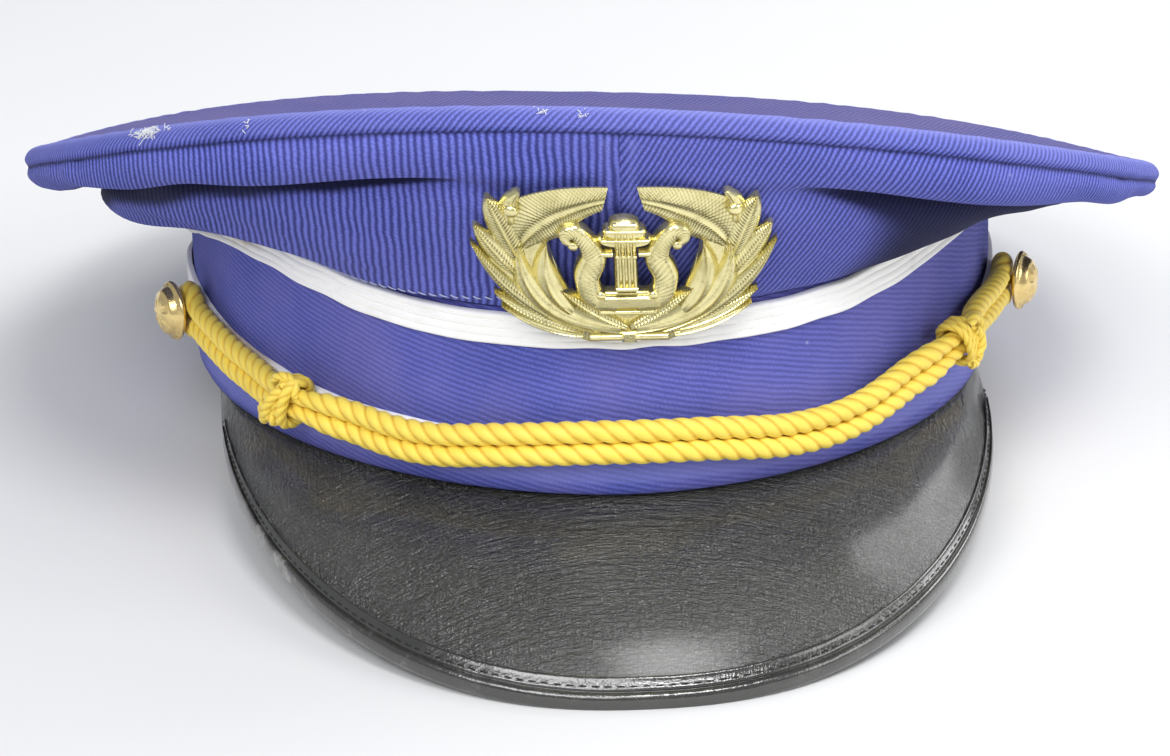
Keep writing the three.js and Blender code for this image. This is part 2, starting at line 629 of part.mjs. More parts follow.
for (const [side, sign] of Object.entries({ left: -1, right: 1 })) {
  const button = piece(`button_${side}`, buttonGeometry(), brass);
  const seat = bandPoint(sign * buttonAngle, BUTTON.height, overBraid);
  const before = bandPoint(sign * buttonAngle - ARC_STEP, 0);
  const tangent = bandPoint(sign * buttonAngle + ARC_STEP, 0).sub(before);
  const outward = new THREE.Vector3(tangent.y, -tangent.x, 0).normalize();
  button.position.copy(seat);
  const facing = outward.clone().applyAxisAngle(new THREE.Vector3(0, 0, 1), -sign * radians(BUTTON.lean));
  button.quaternion.setFromUnitVectors(new THREE.Vector3(0, 1, 0), facing);
}
const badge = piece('badge', badgeGeometry(), brass);
badge.position.set(-BADGE.left, -BAND.halfLength - BADGE.footOff, BADGE.footHeight);
badge.rotation.x = Math.PI / 2 + radians(BADGE.lean);

// Stand the cap on z = 0 with the middle of its plan at the origin.
cap.rotation.x = -restTilt;
cap.position.setFromMatrixPosition(restPlacing);
cap.updateMatrixWorld(true);
const middle = new THREE.Box3().setFromObject(cap, true).getCenter(new THREE.Vector3());
cap.position.x -= middle.x;
cap.position.y -= middle.y;

const model = new THREE.Group();
model.add(cap);
export default model;
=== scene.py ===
"""Dresses a packed peaked cap: ribbed cloth, braid, vinyl peak, twisted chin cord and brass badge.

Shapes are worked out in millimetres in the cap's own level frame, the front towards -Y and right as
seen from the front towards +X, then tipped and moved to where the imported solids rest.
"""

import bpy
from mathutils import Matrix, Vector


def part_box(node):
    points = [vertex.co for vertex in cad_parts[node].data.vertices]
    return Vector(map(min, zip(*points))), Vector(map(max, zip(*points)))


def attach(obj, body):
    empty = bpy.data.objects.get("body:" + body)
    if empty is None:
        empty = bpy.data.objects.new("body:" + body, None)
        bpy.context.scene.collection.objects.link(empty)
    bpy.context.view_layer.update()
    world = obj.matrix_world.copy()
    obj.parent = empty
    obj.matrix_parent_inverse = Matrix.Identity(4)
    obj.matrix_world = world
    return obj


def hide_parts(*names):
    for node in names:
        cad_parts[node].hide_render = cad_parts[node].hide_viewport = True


bl_info = {
    "name": "Peaked Cap Dressing",
    "version": (1, 0, 0),
    "blender": (4, 5, 0),
    "location": "View3D > Sidebar > Cap",
    "description": "Makes the cloth, trim, cord, vinyl and brass of a peaked cap over its solids",
    "category": "Object",
}

import math
from types import SimpleNamespace as Sizes

import bpy
import numpy as np
from bpy.props import FloatProperty, FloatVectorProperty
from mathutils import Matrix, Vector

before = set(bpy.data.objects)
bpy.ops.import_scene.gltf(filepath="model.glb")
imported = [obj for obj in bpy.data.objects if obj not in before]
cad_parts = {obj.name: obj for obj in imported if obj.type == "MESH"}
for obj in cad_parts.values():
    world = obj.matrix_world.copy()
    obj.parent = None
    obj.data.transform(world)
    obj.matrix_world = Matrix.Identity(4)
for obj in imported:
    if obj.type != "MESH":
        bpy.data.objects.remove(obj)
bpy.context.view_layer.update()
ROOT = "root"
SEED = 41

# Sizes that the solids were drawn to, in millimetres and degrees.
GAP = 0.3
BAND = Sizes(half_width=86.5, half_length=104.0, widest_y=16.0, power=1.87, wall=3.0, front_height=35.5,
             temple_rise=8.0, temple_rate=1.5, temple_power=5, rear_fall=9.2)
RIM = Sizes(half_width=118.4, half_length=122.3, centre_y=-2.6, rear_power=2.5, height=39.8, slope=21.5,
            curl=11.6, lean=-5.2, twist=-3.0)
CROWN = Sizes(cloth=1.6, front_bulge=1.6, fold_start=6.0, fold_full=36.0, side_start=15.0, side_full=85.0,
              full_run=26.0)
TOP = Sizes(rise=4.2, dome=2.0)
BRAID = Sizes(thick=1.0, upper_width=6.3, upper_inset=0.7, lower_width=5.0, lower_height=9.2, lower_rise=10.0,
              lower_power=5)
PEAK = Sizes(half_width=80.1, end_y=-14.0, end_angle=78.0, power=2.26, thick=1.6, bulge=0.1, length=41.6,
             drop=29.2, end_drop=2.2, drop_power=1.28)
BINDING = Sizes(width=4.2, wall=1.0, start_share=0.097)
CORD = Sizes(radius=2.0, apart=2.05, step=7.0, knot_lift=2.7, lift_spread=11.0, knot_squeeze=0.25,
             squeeze_spread=8.0)
KNOT = Sizes(radius=1.1, pitch=2.3, play=0.4)
BUTTON = Sizes(y=-18.0, height=17.1, radius=6.2, shank=1.2, back=5.3, face=9.4, rim=0.7, lean=10.0)
BADGE = Sizes(lean=27.5, foot_height=31.2, foot_off=2.0, bend_radius=110.0, plate=1.1, left=0.6,
              across_scale=0.93, up_scale=0.9, sideways=-0.055, slope=-0.02)
FRONT_SEAM = -1.5
SETTLE = 0.5
LOWEST = 0.02
OVER_BRAID = 2 * GAP + BRAID.thick
KNOT_ANGLE = {"left": -45.0, "right": 48.5}

# The chin cord's route over the band: angle from the front and height, of the middle of its strands.
CORD_ROUTE = [
    (-63, 14.9), (-57, 13), (-50, 11.6), (-40, 10.5), (-33, 9), (-27, 8.5), (-17, 10.2), (-5, 11.5),
    (9, 11.1), (22.5, 9), (30, 9.4), (38, 12.2), (47, 16), (56, 17.3), (63, 17.4),
]

# The roll under the rim seam, as run out and rise from the seam, and how far the panel sags.
ROLL = {
    "front": {"mid": (1, -4), "low": (-0.4, -7.8), "foot": (-3.6, -9.8), "fold": (-8.5, -6),
              "lip": (-8.4, -11.2), "sag": 3.5},
    "left": {"mid": (-0.3, -2), "low": (-2, -4), "foot": (-6, -5.5), "fold": (-17.5, -3.8),
             "lip": (-16.5, -8.4), "sag": 5.5},
    "right": {"mid": (-0.1, -0.9), "low": (-1.5, -2), "foot": (-7, -3.2), "fold": (-20.5, -1.5),
              "lip": (-20, -4.4), "sag": -1.2},
}
SLOPE_SHARES = np.array([0, 0.06, 0.25, 0.45, 0.6, 0.7, 0.79, 0.86, 0.94, 1])
CLEAR_OF_BRAID = (2.6, 0.2)
TOP_EDGE_LINE = [(0, -0.3), (0.3, 1.6), (-0.7, 3.2), (-2.4, 4)]
TOP_SHARES = [0.95, 0.84, 0.72, 0.56, 0.4, 0.2, 0.02]

# The left branch of the wreath: each leaf's midrib, half-width, bluntness, height over the plate and how
# deep its ribs are. The last is the small curled leaf between the two top ones.
LEAF_COLUMNS = ("root", "bend", "tip", "half", "blunt", "lift", "ribs")
LEAVES = [dict(zip(LEAF_COLUMNS, row)) for row in (
    ((-20.5, 24), (-18.5, 34), (-3.4, 37.0), 5.4, 0.75, 1.0, 1.0),
    ((-20.5, 21), (-24, 30), (-25.8, 36.4), 2.9, 0.3, 1.2, 1.0),
    ((-21, 17), (-26, 23), (-28.6, 28.6), 2.4, 0.4, 1.0, 0.7),
    ((-3, 2.2), (-22, 6), (-29.6, 24.4), 2.5, 0.15, 1.3, 0.9),
    ((-10, 3.2), (-20, 5.5), (-25.7, 12), 1.8, 0.2, 1.4, 0.5),
    ((-9, 2), (-18, 2.6), (-24.5, 8.6), 1.5, 0.2, 1.5, 0.3),
    ((-0.7, 3.4), (-21.5, 5), (-20.4, 25), 3.8, 0.3, 1.6, 0.25),
    ((-11, 8.5), (-17.5, 14.5), (-15, 26.4), 3.1, 0.15, 1.8, 0.0),
    ((-0.5, 4.6), (-7.5, 8.6), (-12.4, 14), 1.7, 0.3, 1.9, 0.8),
    ((-21.6, 30), (-22.6, 35), (-19.4, 38.4), 1.8, 0.5, 1.1, 0.0),
)]
# One arm of the lyre from the foot to its scroll.
LYRE_ARM = [(-2, 10.6), (-6, 11.8), (-7.6, 17.2), (-6.2, 23.6), (-7.6, 27.2), (-9.8, 29.6), (-11.2, 29.3),
            (-11.3, 27.5), (-10.2, 26.6)]

# Tufts of lint on the rim: middle and spread in degrees, place up the rolled edge, fibres, their length.
LINT_COLUMNS = ("angle", "spread", "station", "count", "length")
LINT = [dict(zip(LINT_COLUMNS, row)) for row in (
    (-48.0, 1.1, 2.0, 90, 1.0), (-35.3, 0.25, 1.8, 9, 0.6), (-8.0, 0.25, 2.2, 8, 0.6),
    (-4.6, 0.25, 1.9, 8, 0.6),
)]

# The soft lights, in metres. Their powers are settings.
LIGHTS = {
    "key": {"spot": (-0.55, -1.25, 1.15), "size": (1.1, 0.8)},
    "fill": {"spot": (1.25, -0.6, 0.7), "size": (0.8, 0.8)},
    "top": {"spot": (0.24, -0.8, 1.35), "size": (0.5, 0.4)},
    "back": {"spot": (0.95, 0.55, 0.8), "size": (0.9, 0.7)},
}

# The view: the camera's distance in millimetres, focal length and aim in pixels of the picture.
PICTURE = Sizes(width=1170, height=756)
VIEW = Sizes(distance=700.0, focal=3222.0, rise=15.5, yaw=3.7, roll=-1.12, aim_x=595.4, aim_y=347.5,
             sensor=36.0)


# Plain sums used by every piece.
def signed_power(value, power):
    """A power that keeps the value's sign."""
    return np.sign(value) * np.abs(value) ** power


def smoothstep(value, low, high):
    """0 below low, 1 above high, and a smooth rise between them."""
    share = np.clip((value - low) / (high - low), 0, 1)
    return share * share * (3 - 2 * share)


def bell(value, width):
    """1 at zero, falling away on both sides."""
    return np.exp(-(value / width) ** 2)


def points_of(x, y, z):
    """Three arrays as one array of points."""
    return np.stack(np.broadcast_arrays(x, y, z), axis=-1).astype(float)


def unit(vectors):
    """Vectors of length one."""
    return vectors / np.maximum(np.linalg.norm(vectors, axis=-1, keepdims=True), 1e-9)


def through(points, per_span):
    """A smooth line through each row of points, with the same number of steps in every span."""
    chord = np.diff(points, axis=1)
    length = np.linalg.norm(chord, axis=2, keepdims=True) + 1e-9
    slope = chord / length
    before, after = length[:, :-1], length[:, 1:]
    inner = (slope[:, :-1] * after + slope[:, 1:] * before) / (before + after)
    tangent = np.concatenate([slope[:, :1], inner, slope[:, -1:]], axis=1)
    s = (np.arange(per_span) / per_span)[None, None, :, None]
    start, end = points[:, :-1, None], points[:, 1:, None]
    leave, arrive = tangent[:, :-1, None] * length[:, :, None], tangent[:, 1:, None] * length[:, :, None]
    line = ((2 * s ** 3 - 3 * s ** 2 + 1) * start + (s ** 3 - 2 * s ** 2 + s) * leave
            + (3 * s ** 2 - 2 * s ** 3) * end + (s ** 3 - s ** 2) * arrive)
    line = line.reshape(len(points), -1, points.shape[2])
    return np.concatenate([line, points[:, -1:]], axis=1)


def line_through(points, per_span):
    """A smooth line through one row of points."""
    return through(np.asarray(points, dtype=float)[None], per_span)[0]


def loop_through(points, per_span):
    """A smooth closed line through one row of points, without its last point repeated."""
    points = np.asarray(points, dtype=float)
    wrapped = np.concatenate([points[-2:], points, points[:3]])
    line = line_through(wrapped, per_span)
    return line[2 * per_span:(2 + len(points)) * per_span]


def lengths_along(line):
    """Distance from the start of a line to each of its points."""
    steps = np.linalg.norm(np.diff(line, axis=-2), axis=-1)
    return np.concatenate([np.zeros_like(steps[..., :1]), np.cumsum(steps, axis=-1)], axis=-1)


def evenly(line, spacing):
    """Points at even distances along a line, and their distances."""
    run = lengths_along(line)
    count = max(int(run[-1] / spacing), 2)
    places = np.linspace(0, run[-1], count + 1)
    return np.stack([np.interp(places, run, line[:, k]) for k in range(line.shape[1])], axis=1), places


def grid_normals(grid, closed):
    """Outward normals of a grid whose rows go round to the right and whose lines go up or in."""
    if closed:
        round_step = np.roll(grid, -1, axis=0) - np.roll(grid, 1, axis=0)
    else:
        round_step = np.gradient(grid, axis=0)
    return unit(np.cross(round_step, np.gradient(grid, axis=1)))


def waves(angle, low, high, count, rng):
    """Soft uneven waves round the cap, between -1 and 1 or so."""
    total = np.zeros_like(angle)
    for _ in range(count):
        total += np.cos(rng.integers(low, high) * angle + rng.uniform(0, 2 * math.pi))
    return total / math.sqrt(count)


# The cap's main forms.
def band_point(angle, height, off=0.0):
    """A point at a distance outside the band's outer face."""
    ahead = np.cos(angle)
    half_length = BAND.half_length + np.sign(ahead) * BAND.widest_y + off
    x = signed_power(np.sin(angle), 2 / BAND.power) * (BAND.half_width + off)
    return points_of(x, BAND.widest_y - signed_power(ahead, 2 / BAND.power) * half_length, height)


def band_top(angle):
    """Height of the band's upper edge: tallest at the temples, lowest at the rear."""
    rear = BAND.rear_fall * ((1 - np.cos(angle)) / 2) ** 1.3
    temple = np.sin(np.minimum(BAND.temple_rate * np.abs(angle), np.pi)) ** BAND.temple_power
    return BAND.front_height - rear + BAND.temple_rise * temple


def rim_point(angle, share=1.0, rise=0.0):
    """A point of the stretched top, at a share of the way from its middle to the rim."""
    power = np.where(np.cos(angle) < 0, 2 / RIM.rear_power, 1.0)
    across = signed_power(np.sin(angle), power) * share
    forward = signed_power(np.cos(angle), power) * share
    height = (RIM.height + RIM.slope * forward + RIM.curl * forward ** 2 + RIM.lean * across
              + RIM.twist * across * forward * (1 + forward) / 2)
    return points_of(RIM.half_width * across, RIM.centre_y - RIM.half_length * forward,
                     height + TOP.dome * (1 - np.asarray(share) ** 2) + rise)


def roll_at(angle):
    """The roll's named points at each angle."""
    sideways = smoothstep(np.abs(np.degrees(angle)), CROWN.side_start, CROWN.side_full)[:, None]
    rightwards = ((1 + np.sin(angle)) / 2)[:, None]
    found = {}
    for name, front in ROLL["front"].items():
        front = np.atleast_1d(np.asarray(front, dtype=float))
        left = np.atleast_1d(np.asarray(ROLL["left"][name], dtype=float))
        right = np.atleast_1d(np.asarray(ROLL["right"][name], dtype=float))
        found[name] = front + (left + (right - left) * rightwards - front) * sideways
    return found


def panel_lines(angle):
    """Each angle's line of a side panel from the band to the rim seam, in the cap's frame."""
    seam = rim_point(angle)
    foot = band_point(angle, band_top(angle) + GAP)
    flat = seam[:, :2] - foot[:, :2]
    run = np.linalg.norm(flat, axis=1, keepdims=True)
    rise = seam[:, 2:] - foot[:, 2:]
    bulge = CROWN.front_bulge * np.sin(np.pi * SLOPE_SHARES)
    slope = np.hypot(run, rise)
    smooth = np.stack([run * SLOPE_SHARES + bulge * rise / slope,
                       rise * SLOPE_SHARES - bulge * run / slope], axis=-1)
    roll = roll_at(angle)
    room = np.minimum(run / CROWN.full_run, 1)

    def from_seam(name):
        return np.stack([run[:, 0] + roll[name][:, 0] * room[:, 0], rise[:, 0] + roll[name][:, 1]], axis=-1)

    lip = from_seam("lip")

    def sag(share, depth):
        return np.stack([lip[:, 0] * share, lip[:, 1] * share - roll["sag"][:, 0] * depth], axis=-1)

    start = np.zeros_like(lip)
    folded = np.stack([start, start + CLEAR_OF_BRAID, sag(0.3, 1), sag(0.66, 1), lip, from_seam("fold"),
                       from_seam("foot"), from_seam("low"), from_seam("mid"),
                       np.concatenate([run, rise], axis=1)], axis=1)
    blend = smoothstep(np.abs(np.degrees(angle)), CROWN.fold_start, CROWN.fold_full)[:, None, None]
    line = smooth + (folded - smooth) * blend
    outward = np.concatenate([flat / run, np.zeros_like(run)], axis=1)
    return foot[:, None] + outward[:, None] * line[..., :1] + np.array([0, 0, 1]) * line[..., 1:]


def peak_frame(share):
    """The peak's inner edge under the band, its free edge, and the directions of its sheet."""
    inner = band_point(np.radians(PEAK.end_angle) * share, -GAP, -BAND.wall)
    turn = np.pi / 2 * share
    ahead = np.maximum(np.cos(turn), 0)
    reach = math.sqrt(PEAK.length ** 2 - PEAK.drop ** 2)
    edge = points_of(signed_power(np.sin(turn), 2 / PEAK.power) * PEAK.half_width,
                     PEAK.end_y - ahead ** (2 / PEAK.power) * (BAND.half_length + reach + PEAK.end_y),
                     -(PEAK.end_drop + (PEAK.drop - PEAK.end_drop) * ahead ** PEAK.drop_power))
    along = edge - inner
    flat = np.hypot(along[..., 0], along[..., 1])
    up = unit(points_of(-along[..., 0] * along[..., 2], -along[..., 1] * along[..., 2], flat ** 2))
    return inner, along, up


def peak_points(share_round, share_out, above):
    """Points over the peak's sheet, at shares round it and out to its edge."""
    inner, along, up = peak_frame(share_round)
    share_out, above = np.asarray(share_out)[..., None], np.asarray(above)[..., None]
    bulge = PEAK.bulge * np.abs(along[..., 2:]) * 4 * share_out * (1 - share_out)
    return inner + along * share_out + up * (bulge + above)


def binding_point(share_round, inside, above):
    """A point at a distance in from the peak's free edge and above its sheet."""
    _, along, _ = peak_frame(share_round)
    length = np.linalg.norm(along, axis=-1)
    return peak_points(share_round, 1 - inside / length, above)


# Where the cap rests: tipped back on the rear of its band and the edge of its peak.
def find_placing():
    """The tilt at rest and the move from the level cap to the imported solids."""
    shoulder = BINDING.wall * 0.4
    low = -PEAK.thick - GAP - BINDING.wall
    nose = [(shoulder, GAP + BINDING.wall), (-GAP - BINDING.wall, -PEAK.thick / 2), (shoulder, low),
            (BINDING.width, low)]
    nose = np.array([binding_point(np.array(0.0), inside, above) for inside, above in nose])
    tilt = np.arctan2(-nose[:, 2], BAND.half_length - nose[:, 1]).max()
    front = (nose[:, 1] * math.cos(tilt) + nose[:, 2] * math.sin(tilt)).min()
    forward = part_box("peak_binding")[0].y * 1000 - front
    return tilt, np.array([0, forward, BAND.half_length * math.sin(tilt) - SETTLE])


TILT, SHIFT = find_placing()
TIP_BACK = np.array(Matrix.Rotation(-TILT, 3, "X"))


def placed(points):
    """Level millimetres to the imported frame's metres. What would sink into the floor lies flat on it."""
    moved = points @ TIP_BACK.T + SHIFT
    moved[..., 2] = np.maximum(moved[..., 2], LOWEST)
    return moved / 1000


# Meshes from rows of points.
def numbered(grid, closed):
    """The point numbers of a grid, with its first row again at the end where it goes right round."""
    rows, columns = grid.shape[:2]
    place = np.arange(rows * columns).reshape(rows, columns)
    return np.concatenate([place, place[:1]]) if closed else place


def cells_of(place):
    """The corners of each cell of a grid of point numbers."""
    corners = [place[:-1, :-1], place[1:, :-1], place[1:, 1:], place[:-1, 1:]]
    return np.stack(corners, axis=-1).reshape(-1, 4)


class Build:
    """Points, faces and three coordinates of one piece, gathered part by part."""

    def __init__(self):
        self.points, self.faces, self.lay, self.kinds = [], [], [], []
        self.count = 0

    def add(self, points, faces, lay=None, kind=0):
        """Adds points (n, 3), faces as rows of corners, and a lay (n, 3): across, along, and marks of use
        with painted shade and light.
        """
        points = np.asarray(points, dtype=float).reshape(-1, 3)
        self.points.append(points)
        self.lay.append(np.zeros_like(points) if lay is None else np.reshape(lay, (-1, 3)))
        self.faces.extend((np.asarray(face) + self.count).tolist() for face in faces)
        self.kinds.extend([kind] * len(faces))
        self.count += len(points)

    def grid(self, grid, lay=None):
        """Adds an open sheet through a grid of points whose rows go right round."""
        self.add(grid, cells_of(numbered(grid, True)), lay)

    def shell(self, outer, inner, lay=None, closed=False, kind=0, inner_kind=0):
        """Adds a closed wall between two grids of like size."""
        place = numbered(outer, closed)
        under = place + outer[..., 0].size
        front, back = cells_of(place), cells_of(under)[:, ::-1]
        pairs = [(under[:, 0], place[:, 0]), (place[:, -1], under[:, -1])]
        if not closed:
            pairs += [(place[0], under[0]), (place[-1, ::-1], under[-1, ::-1])]
        walls = [cells_of(np.stack(pair, axis=1)) for pair in pairs]
        both = np.concatenate([outer.reshape(-1, 3), inner.reshape(-1, 3)])
        lay = None if lay is None else np.concatenate([lay.reshape(-1, 3)] * 2)
        inside = len(self.kinds) + len(front)
        self.add(both, np.concatenate([front, back, *walls]), lay, kind)
        self.kinds[inside:inside + len(back)] = [inner_kind] * len(back)

    def rings(self, rings, lay=None, closed=False):
        """Adds a tube through rings of points. An open one gets end faces."""
        place = numbered(rings, closed)
        ends = [] if closed else [place[0].tolist(), place[-1][::-1].tolist()]
        sides = cells_of(np.concatenate([place, place[:, :1]], axis=1))[:, [0, 3, 2, 1]]
        self.add(rings, sides.tolist() + ends, lay)

    def object(self, name, finishes, slot, node=None, sharp=None):
        """The finished piece: placed, riding on the cap, with its materials and the solid it replaces."""
        mesh = bpy.data.meshes.new(name)
        mesh.from_pydata(placed(np.concatenate(self.points)).tolist(), [], self.faces)
        lay = mesh.attributes.new("lay", "FLOAT_VECTOR", "POINT")
        lay.data.foreach_set("vector", np.concatenate(self.lay).astype(np.float32).ravel())
        for finish in finishes:
            mesh.materials.append(finish)
        mesh.polygons.foreach_set("material_index", np.array(self.kinds, dtype=np.int32))
        mesh.polygons.foreach_set("use_smooth", np.ones(len(self.faces), dtype=bool))
        if sharp:
            mesh.set_sharp_from_angle(angle=math.radians(sharp))
        mesh.update()
        made = bpy.data.objects.new(name, mesh)
        bpy.context.scene.collection.objects.link(made)
        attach(made, ROOT)
        if node:
            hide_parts(node)
        return made


def rope_rings(path, outward, radius, lead, sides=30, closed=True):
    """Rings of a three-strand rope along a path, and its lay: round the strand, along, groove."""
    run = lengths_along(path)
    turned = np.cumsum(np.gradient(run) / lead)
    if closed:
        tangent = unit(np.roll(path, -1, axis=0) - np.roll(path, 1, axis=0))
        twist = 2 * np.pi * max(round(turned[-1]), 1) * turned / turned[-1]
    else:
        tangent = unit(np.gradient(path, axis=0))
        twist = 2 * np.pi * turned
    up = unit(np.cross(outward, tangent))
    out = np.cross(tangent, up)
    turn = np.linspace(0, 2 * np.pi, sides, endpoint=False)[None]
    local = (turn - twist[:, None] + np.pi / 3) % (2 * np.pi / 3) - np.pi / 3
    strand, middle = 0.7, 0.3
    reach = radius * (middle * np.cos(local) + np.sqrt(strand ** 2 - (middle * np.sin(local)) ** 2))
    rings = (path[:, None] + up[:, None] * (reach * np.cos(turn))[..., None]
             + out[:, None] * (reach * np.sin(turn))[..., None])
    groove = np.abs(local) / (np.pi / 3)
    lay = points_of(local * radius, np.broadcast_to(run[:, None], local.shape), groove)
    return rings, lay


def add_stitches(build, starts, ends, lift, width, high):
    """Adds short arched threads between pairs of points, standing off along lift."""
    along = ends - starts
    side = unit(np.cross(along, lift))
    shares = np.array([0, 0.12, 0.5, 0.88, 1.0])
    swell = np.array([0.35, 0.9, 1.0, 0.9, 0.35])
    turn = np.linspace(0, 2 * np.pi, 6, endpoint=False)
    for start, step, across, up in zip(starts, along, side, lift):
        middle = start + step * shares[:, None] + up * (high * (4 * shares * (1 - shares)))[:, None]
        ring = (middle[:, None] + across * (width * swell[:, None] * np.cos(turn))[..., None]
                + up * (width * 0.8 * swell[:, None] * np.sin(turn))[..., None])
        build.rings(ring)


# Materials: sums on sockets are written as sums.
class Value:
    """A shader socket that takes part in sums as a number does."""

    def __init__(self, finish, socket):
        self.finish, self.socket = finish, socket

    def maths(self, operation, *values):
        """This value under one of the Math node's operations."""
        inputs = dict(enumerate([self, *values]))
        return self.finish.node("ShaderNodeMath", {"operation": operation}, inputs)

    def twin(self, output):
        """Another output of the same node."""
        return Value(self.finish, self.socket.node.outputs[output])

    def __add__(self, other):
        return self.maths("ADD", other)

    def __sub__(self, other):
        return self.maths("SUBTRACT", other)

    def __rsub__(self, other):
        return self.finish.node("ShaderNodeMath", {"operation": "SUBTRACT"}, {0: other, 1: self})

    def __mul__(self, other):
        return self.maths("MULTIPLY", other)

    def __abs__(self):
        return self.maths("ABSOLUTE")


class Finish:
    """A material being made."""

    def __init__(self, name):
        self.material = bpy.data.materials.new(name)
        self.material.use_nodes = True
        self.tree = self.material.node_tree
        self.tree.nodes.clear()

    def node(self, kind, settings, inputs, output=0):
        """Adds a node: its settings, then its sockets' links, numbers or colours of three numbers."""
        made = self.tree.nodes.new(kind)
        for name, setting in settings.items():
            setattr(made, name, setting)
        for socket, given in inputs.items():
            if isinstance(given, Value):
                self.tree.links.new(given.socket, made.inputs[socket])
            else:
                made.inputs[socket].default_value = (*given, 1.0) if hasattr(given, "__len__") else given
        return None if output is None else Value(self, made.outputs[output])

    def lay(self):
        """The piece's own coordinates: across, along, and marks of use with painted shade and light."""
        lay = self.node("ShaderNodeAttribute", {"attribute_name": "lay"}, {}, "Vector")
        across = self.node("ShaderNodeSeparateXYZ", {}, {"Vector": lay}, "X")
        return across, across.twin("Y"), across.twin("Z")

    def place(self):
        """The point on the piece, in millimetres."""
        point = self.node("ShaderNodeTexCoord", {}, {}, "Object")
        return self.node("ShaderNodeVectorMath", {"operation": "SCALE"}, {0: point, "Scale": 1000.0})

    def vector(self, x, y):
        """Two values as a level vector."""
        return self.node("ShaderNodeCombineXYZ", {}, {"X": x, "Y": y})

    def noise(self, at, size, detail=3.0, rough=0.55):
        """Uneven patches about size millimetres wide, from 0 to 1."""
        inputs = {"Vector": at, "Scale": 1.0 / size, "Detail": detail, "Roughness": rough}
        return self.node("ShaderNodeTexNoise", {}, inputs, "Fac")

    def cells(self, at, size, feature="DISTANCE_TO_EDGE", jitter=1.0):
        """Distances in a pattern of cells about size millimetres wide."""
        inputs = {"Vector": at, "Scale": 1.0 / size, "Randomness": jitter}
        return self.node("ShaderNodeTexVoronoi", {"feature": feature}, inputs, "Distance")

    def ramp(self, value, low, high, start=0.0, end=1.0):
        """A smooth step from start to end as the value goes from low to high."""
        inputs = {"Value": value, "From Min": low, "From Max": high, "To Min": start, "To Max": end}
        return self.node("ShaderNodeMapRange", {"interpolation_type": "SMOOTHSTEP"}, inputs)

    def wave(self, value, pitch):
        """Even ripples from 0 to 1, a pitch apart."""
        return (value * (2 * math.pi / pitch)).maths("SINE") * 0.5 + 0.5

    def mix(self, share, first, second):
        """A colour between two."""
        return self.node("ShaderNodeMix", {"data_type": "RGBA"}, {0: share, 6: first, 7: second}, 2)

    def bump(self, height, strength, distance):
        """A normal from a height, its distance in millimetres."""
        inputs = {"Strength": strength, "Distance": distance / 1000, "Height": height}
        return self.node("ShaderNodeBump", {}, inputs, "Normal")

    def done(self, inputs):
        """Ends the material with one surface shader."""
        surface = self.node("ShaderNodeBsdfPrincipled", {}, inputs)
        self.node("ShaderNodeOutputMaterial", {}, {"Surface": surface}, None)
        return self.material


def ribbed_cloth(name, sizes, pitch, depth, fade, faded, even=0.0):
    """Wool twill: raised ribs of beaded yarn with painted light on them and painted shade between them, fuzz,
    fading, painted shade in folds and seams, and edges lightened by rubbing and, on the band, by painted
    light.
    """
    finish = Finish(name)
    across, along, shade_and_wear = finish.lay()
    at = finish.place()
    drift = finish.noise(at, 8.0, 3.0) * (0.9 * pitch)
    rib = finish.wave(across + drift, pitch)
    slub = finish.noise(finish.vector(across * (1 / pitch), along * 0.45), 0.7, 2.0)
    bead = finish.wave(along + slub * 2.5 + across * 0.6, 0.95)
    fibre = finish.noise(finish.vector(across * 2.0, along * 1.3), 0.4, 3.0, 0.7)
    patch = finish.noise(at, 22.0, 4.0)
    broad = finish.noise(at, 70.0, 2.0)
    yarn = rib * (bead * 0.35 + slub * 0.5 + 0.4)
    # Darker between the ribs and lighter on them: painted shade and painted light, mixed with the random tone
    # of fibres and patches.
    tone = (yarn - 0.41) * (0.95 * depth) + (fibre - 0.5) * 0.95 + (patch - 0.5) * 0.35 + 0.48
    share = finish.ramp(tone, 0.0, 1.0)
    cloth = finish.mix(share, sizes.deep, sizes.light)
    worn = finish.ramp(patch * 0.5 + broad * 0.5, 0.36, 0.64, even, 1.0) * fade
    cloth = finish.mix(worn, cloth, finish.mix(share, sizes.faded_deep, faded))
    # Below zero the lay lightens the cloth towards the rubbed colour: fuzz on rubbed edges, and painted light
    # on the band's lower strip.
    rub = finish.ramp(shade_and_wear, 0.0, -1.0) * (fibre * 0.9 + 0.3)
    cloth = finish.mix(rub, cloth, sizes.rubbed)
    # Above zero the lay darkens the cloth towards the painted shade colour: shade under the roll and along
    # seams and edges.
    cloth = finish.mix(finish.ramp(shade_and_wear, 0.0, 1.0) * 0.97, cloth, sizes.painted_shade)
    fluff = finish.cells(at, 9.0, "F1")
    lint = finish.ramp(fluff, 0.06, 0.025) * finish.ramp(finish.noise(at, 14.0, 1.0), 0.54, 0.62)
    cloth = finish.mix(lint * 0.3, cloth, sizes.lint)
    height = yarn * (0.9 * depth) + fibre * 0.5
    return finish.done({
        "Base Color": cloth, "Roughness": finish.ramp(fibre, 0.2, 0.8, 0.95, 0.8),
        "Specular IOR Level": 0.15, "Sheen Weight": 0.05, "Sheen Roughness": 0.5,
        "Sheen Tint": (0.75, 0.78, 1.0), "Normal": finish.bump(height, 0.6, 0.3),
    })


def lining_cloth(name, sizes):
    """Thin black satin lining inside the crown, with a fine twill."""
    finish = Finish(name)
    at = finish.place()
    across, along, _ = finish.lay()
    line = finish.wave(across + along, 0.5)
    patch = finish.noise(at, 12.0, 4.0)
    dusty = (0.05, 0.045, 0.05)
    tone = finish.mix(patch, sizes.lining, dusty)
    return finish.done({
        "Base Color": tone, "Roughness": finish.ramp(patch, 0.3, 0.7, 0.5, 0.7),
        "Normal": finish.bump(line * 0.4 + patch, 0.3, 0.2),
    })


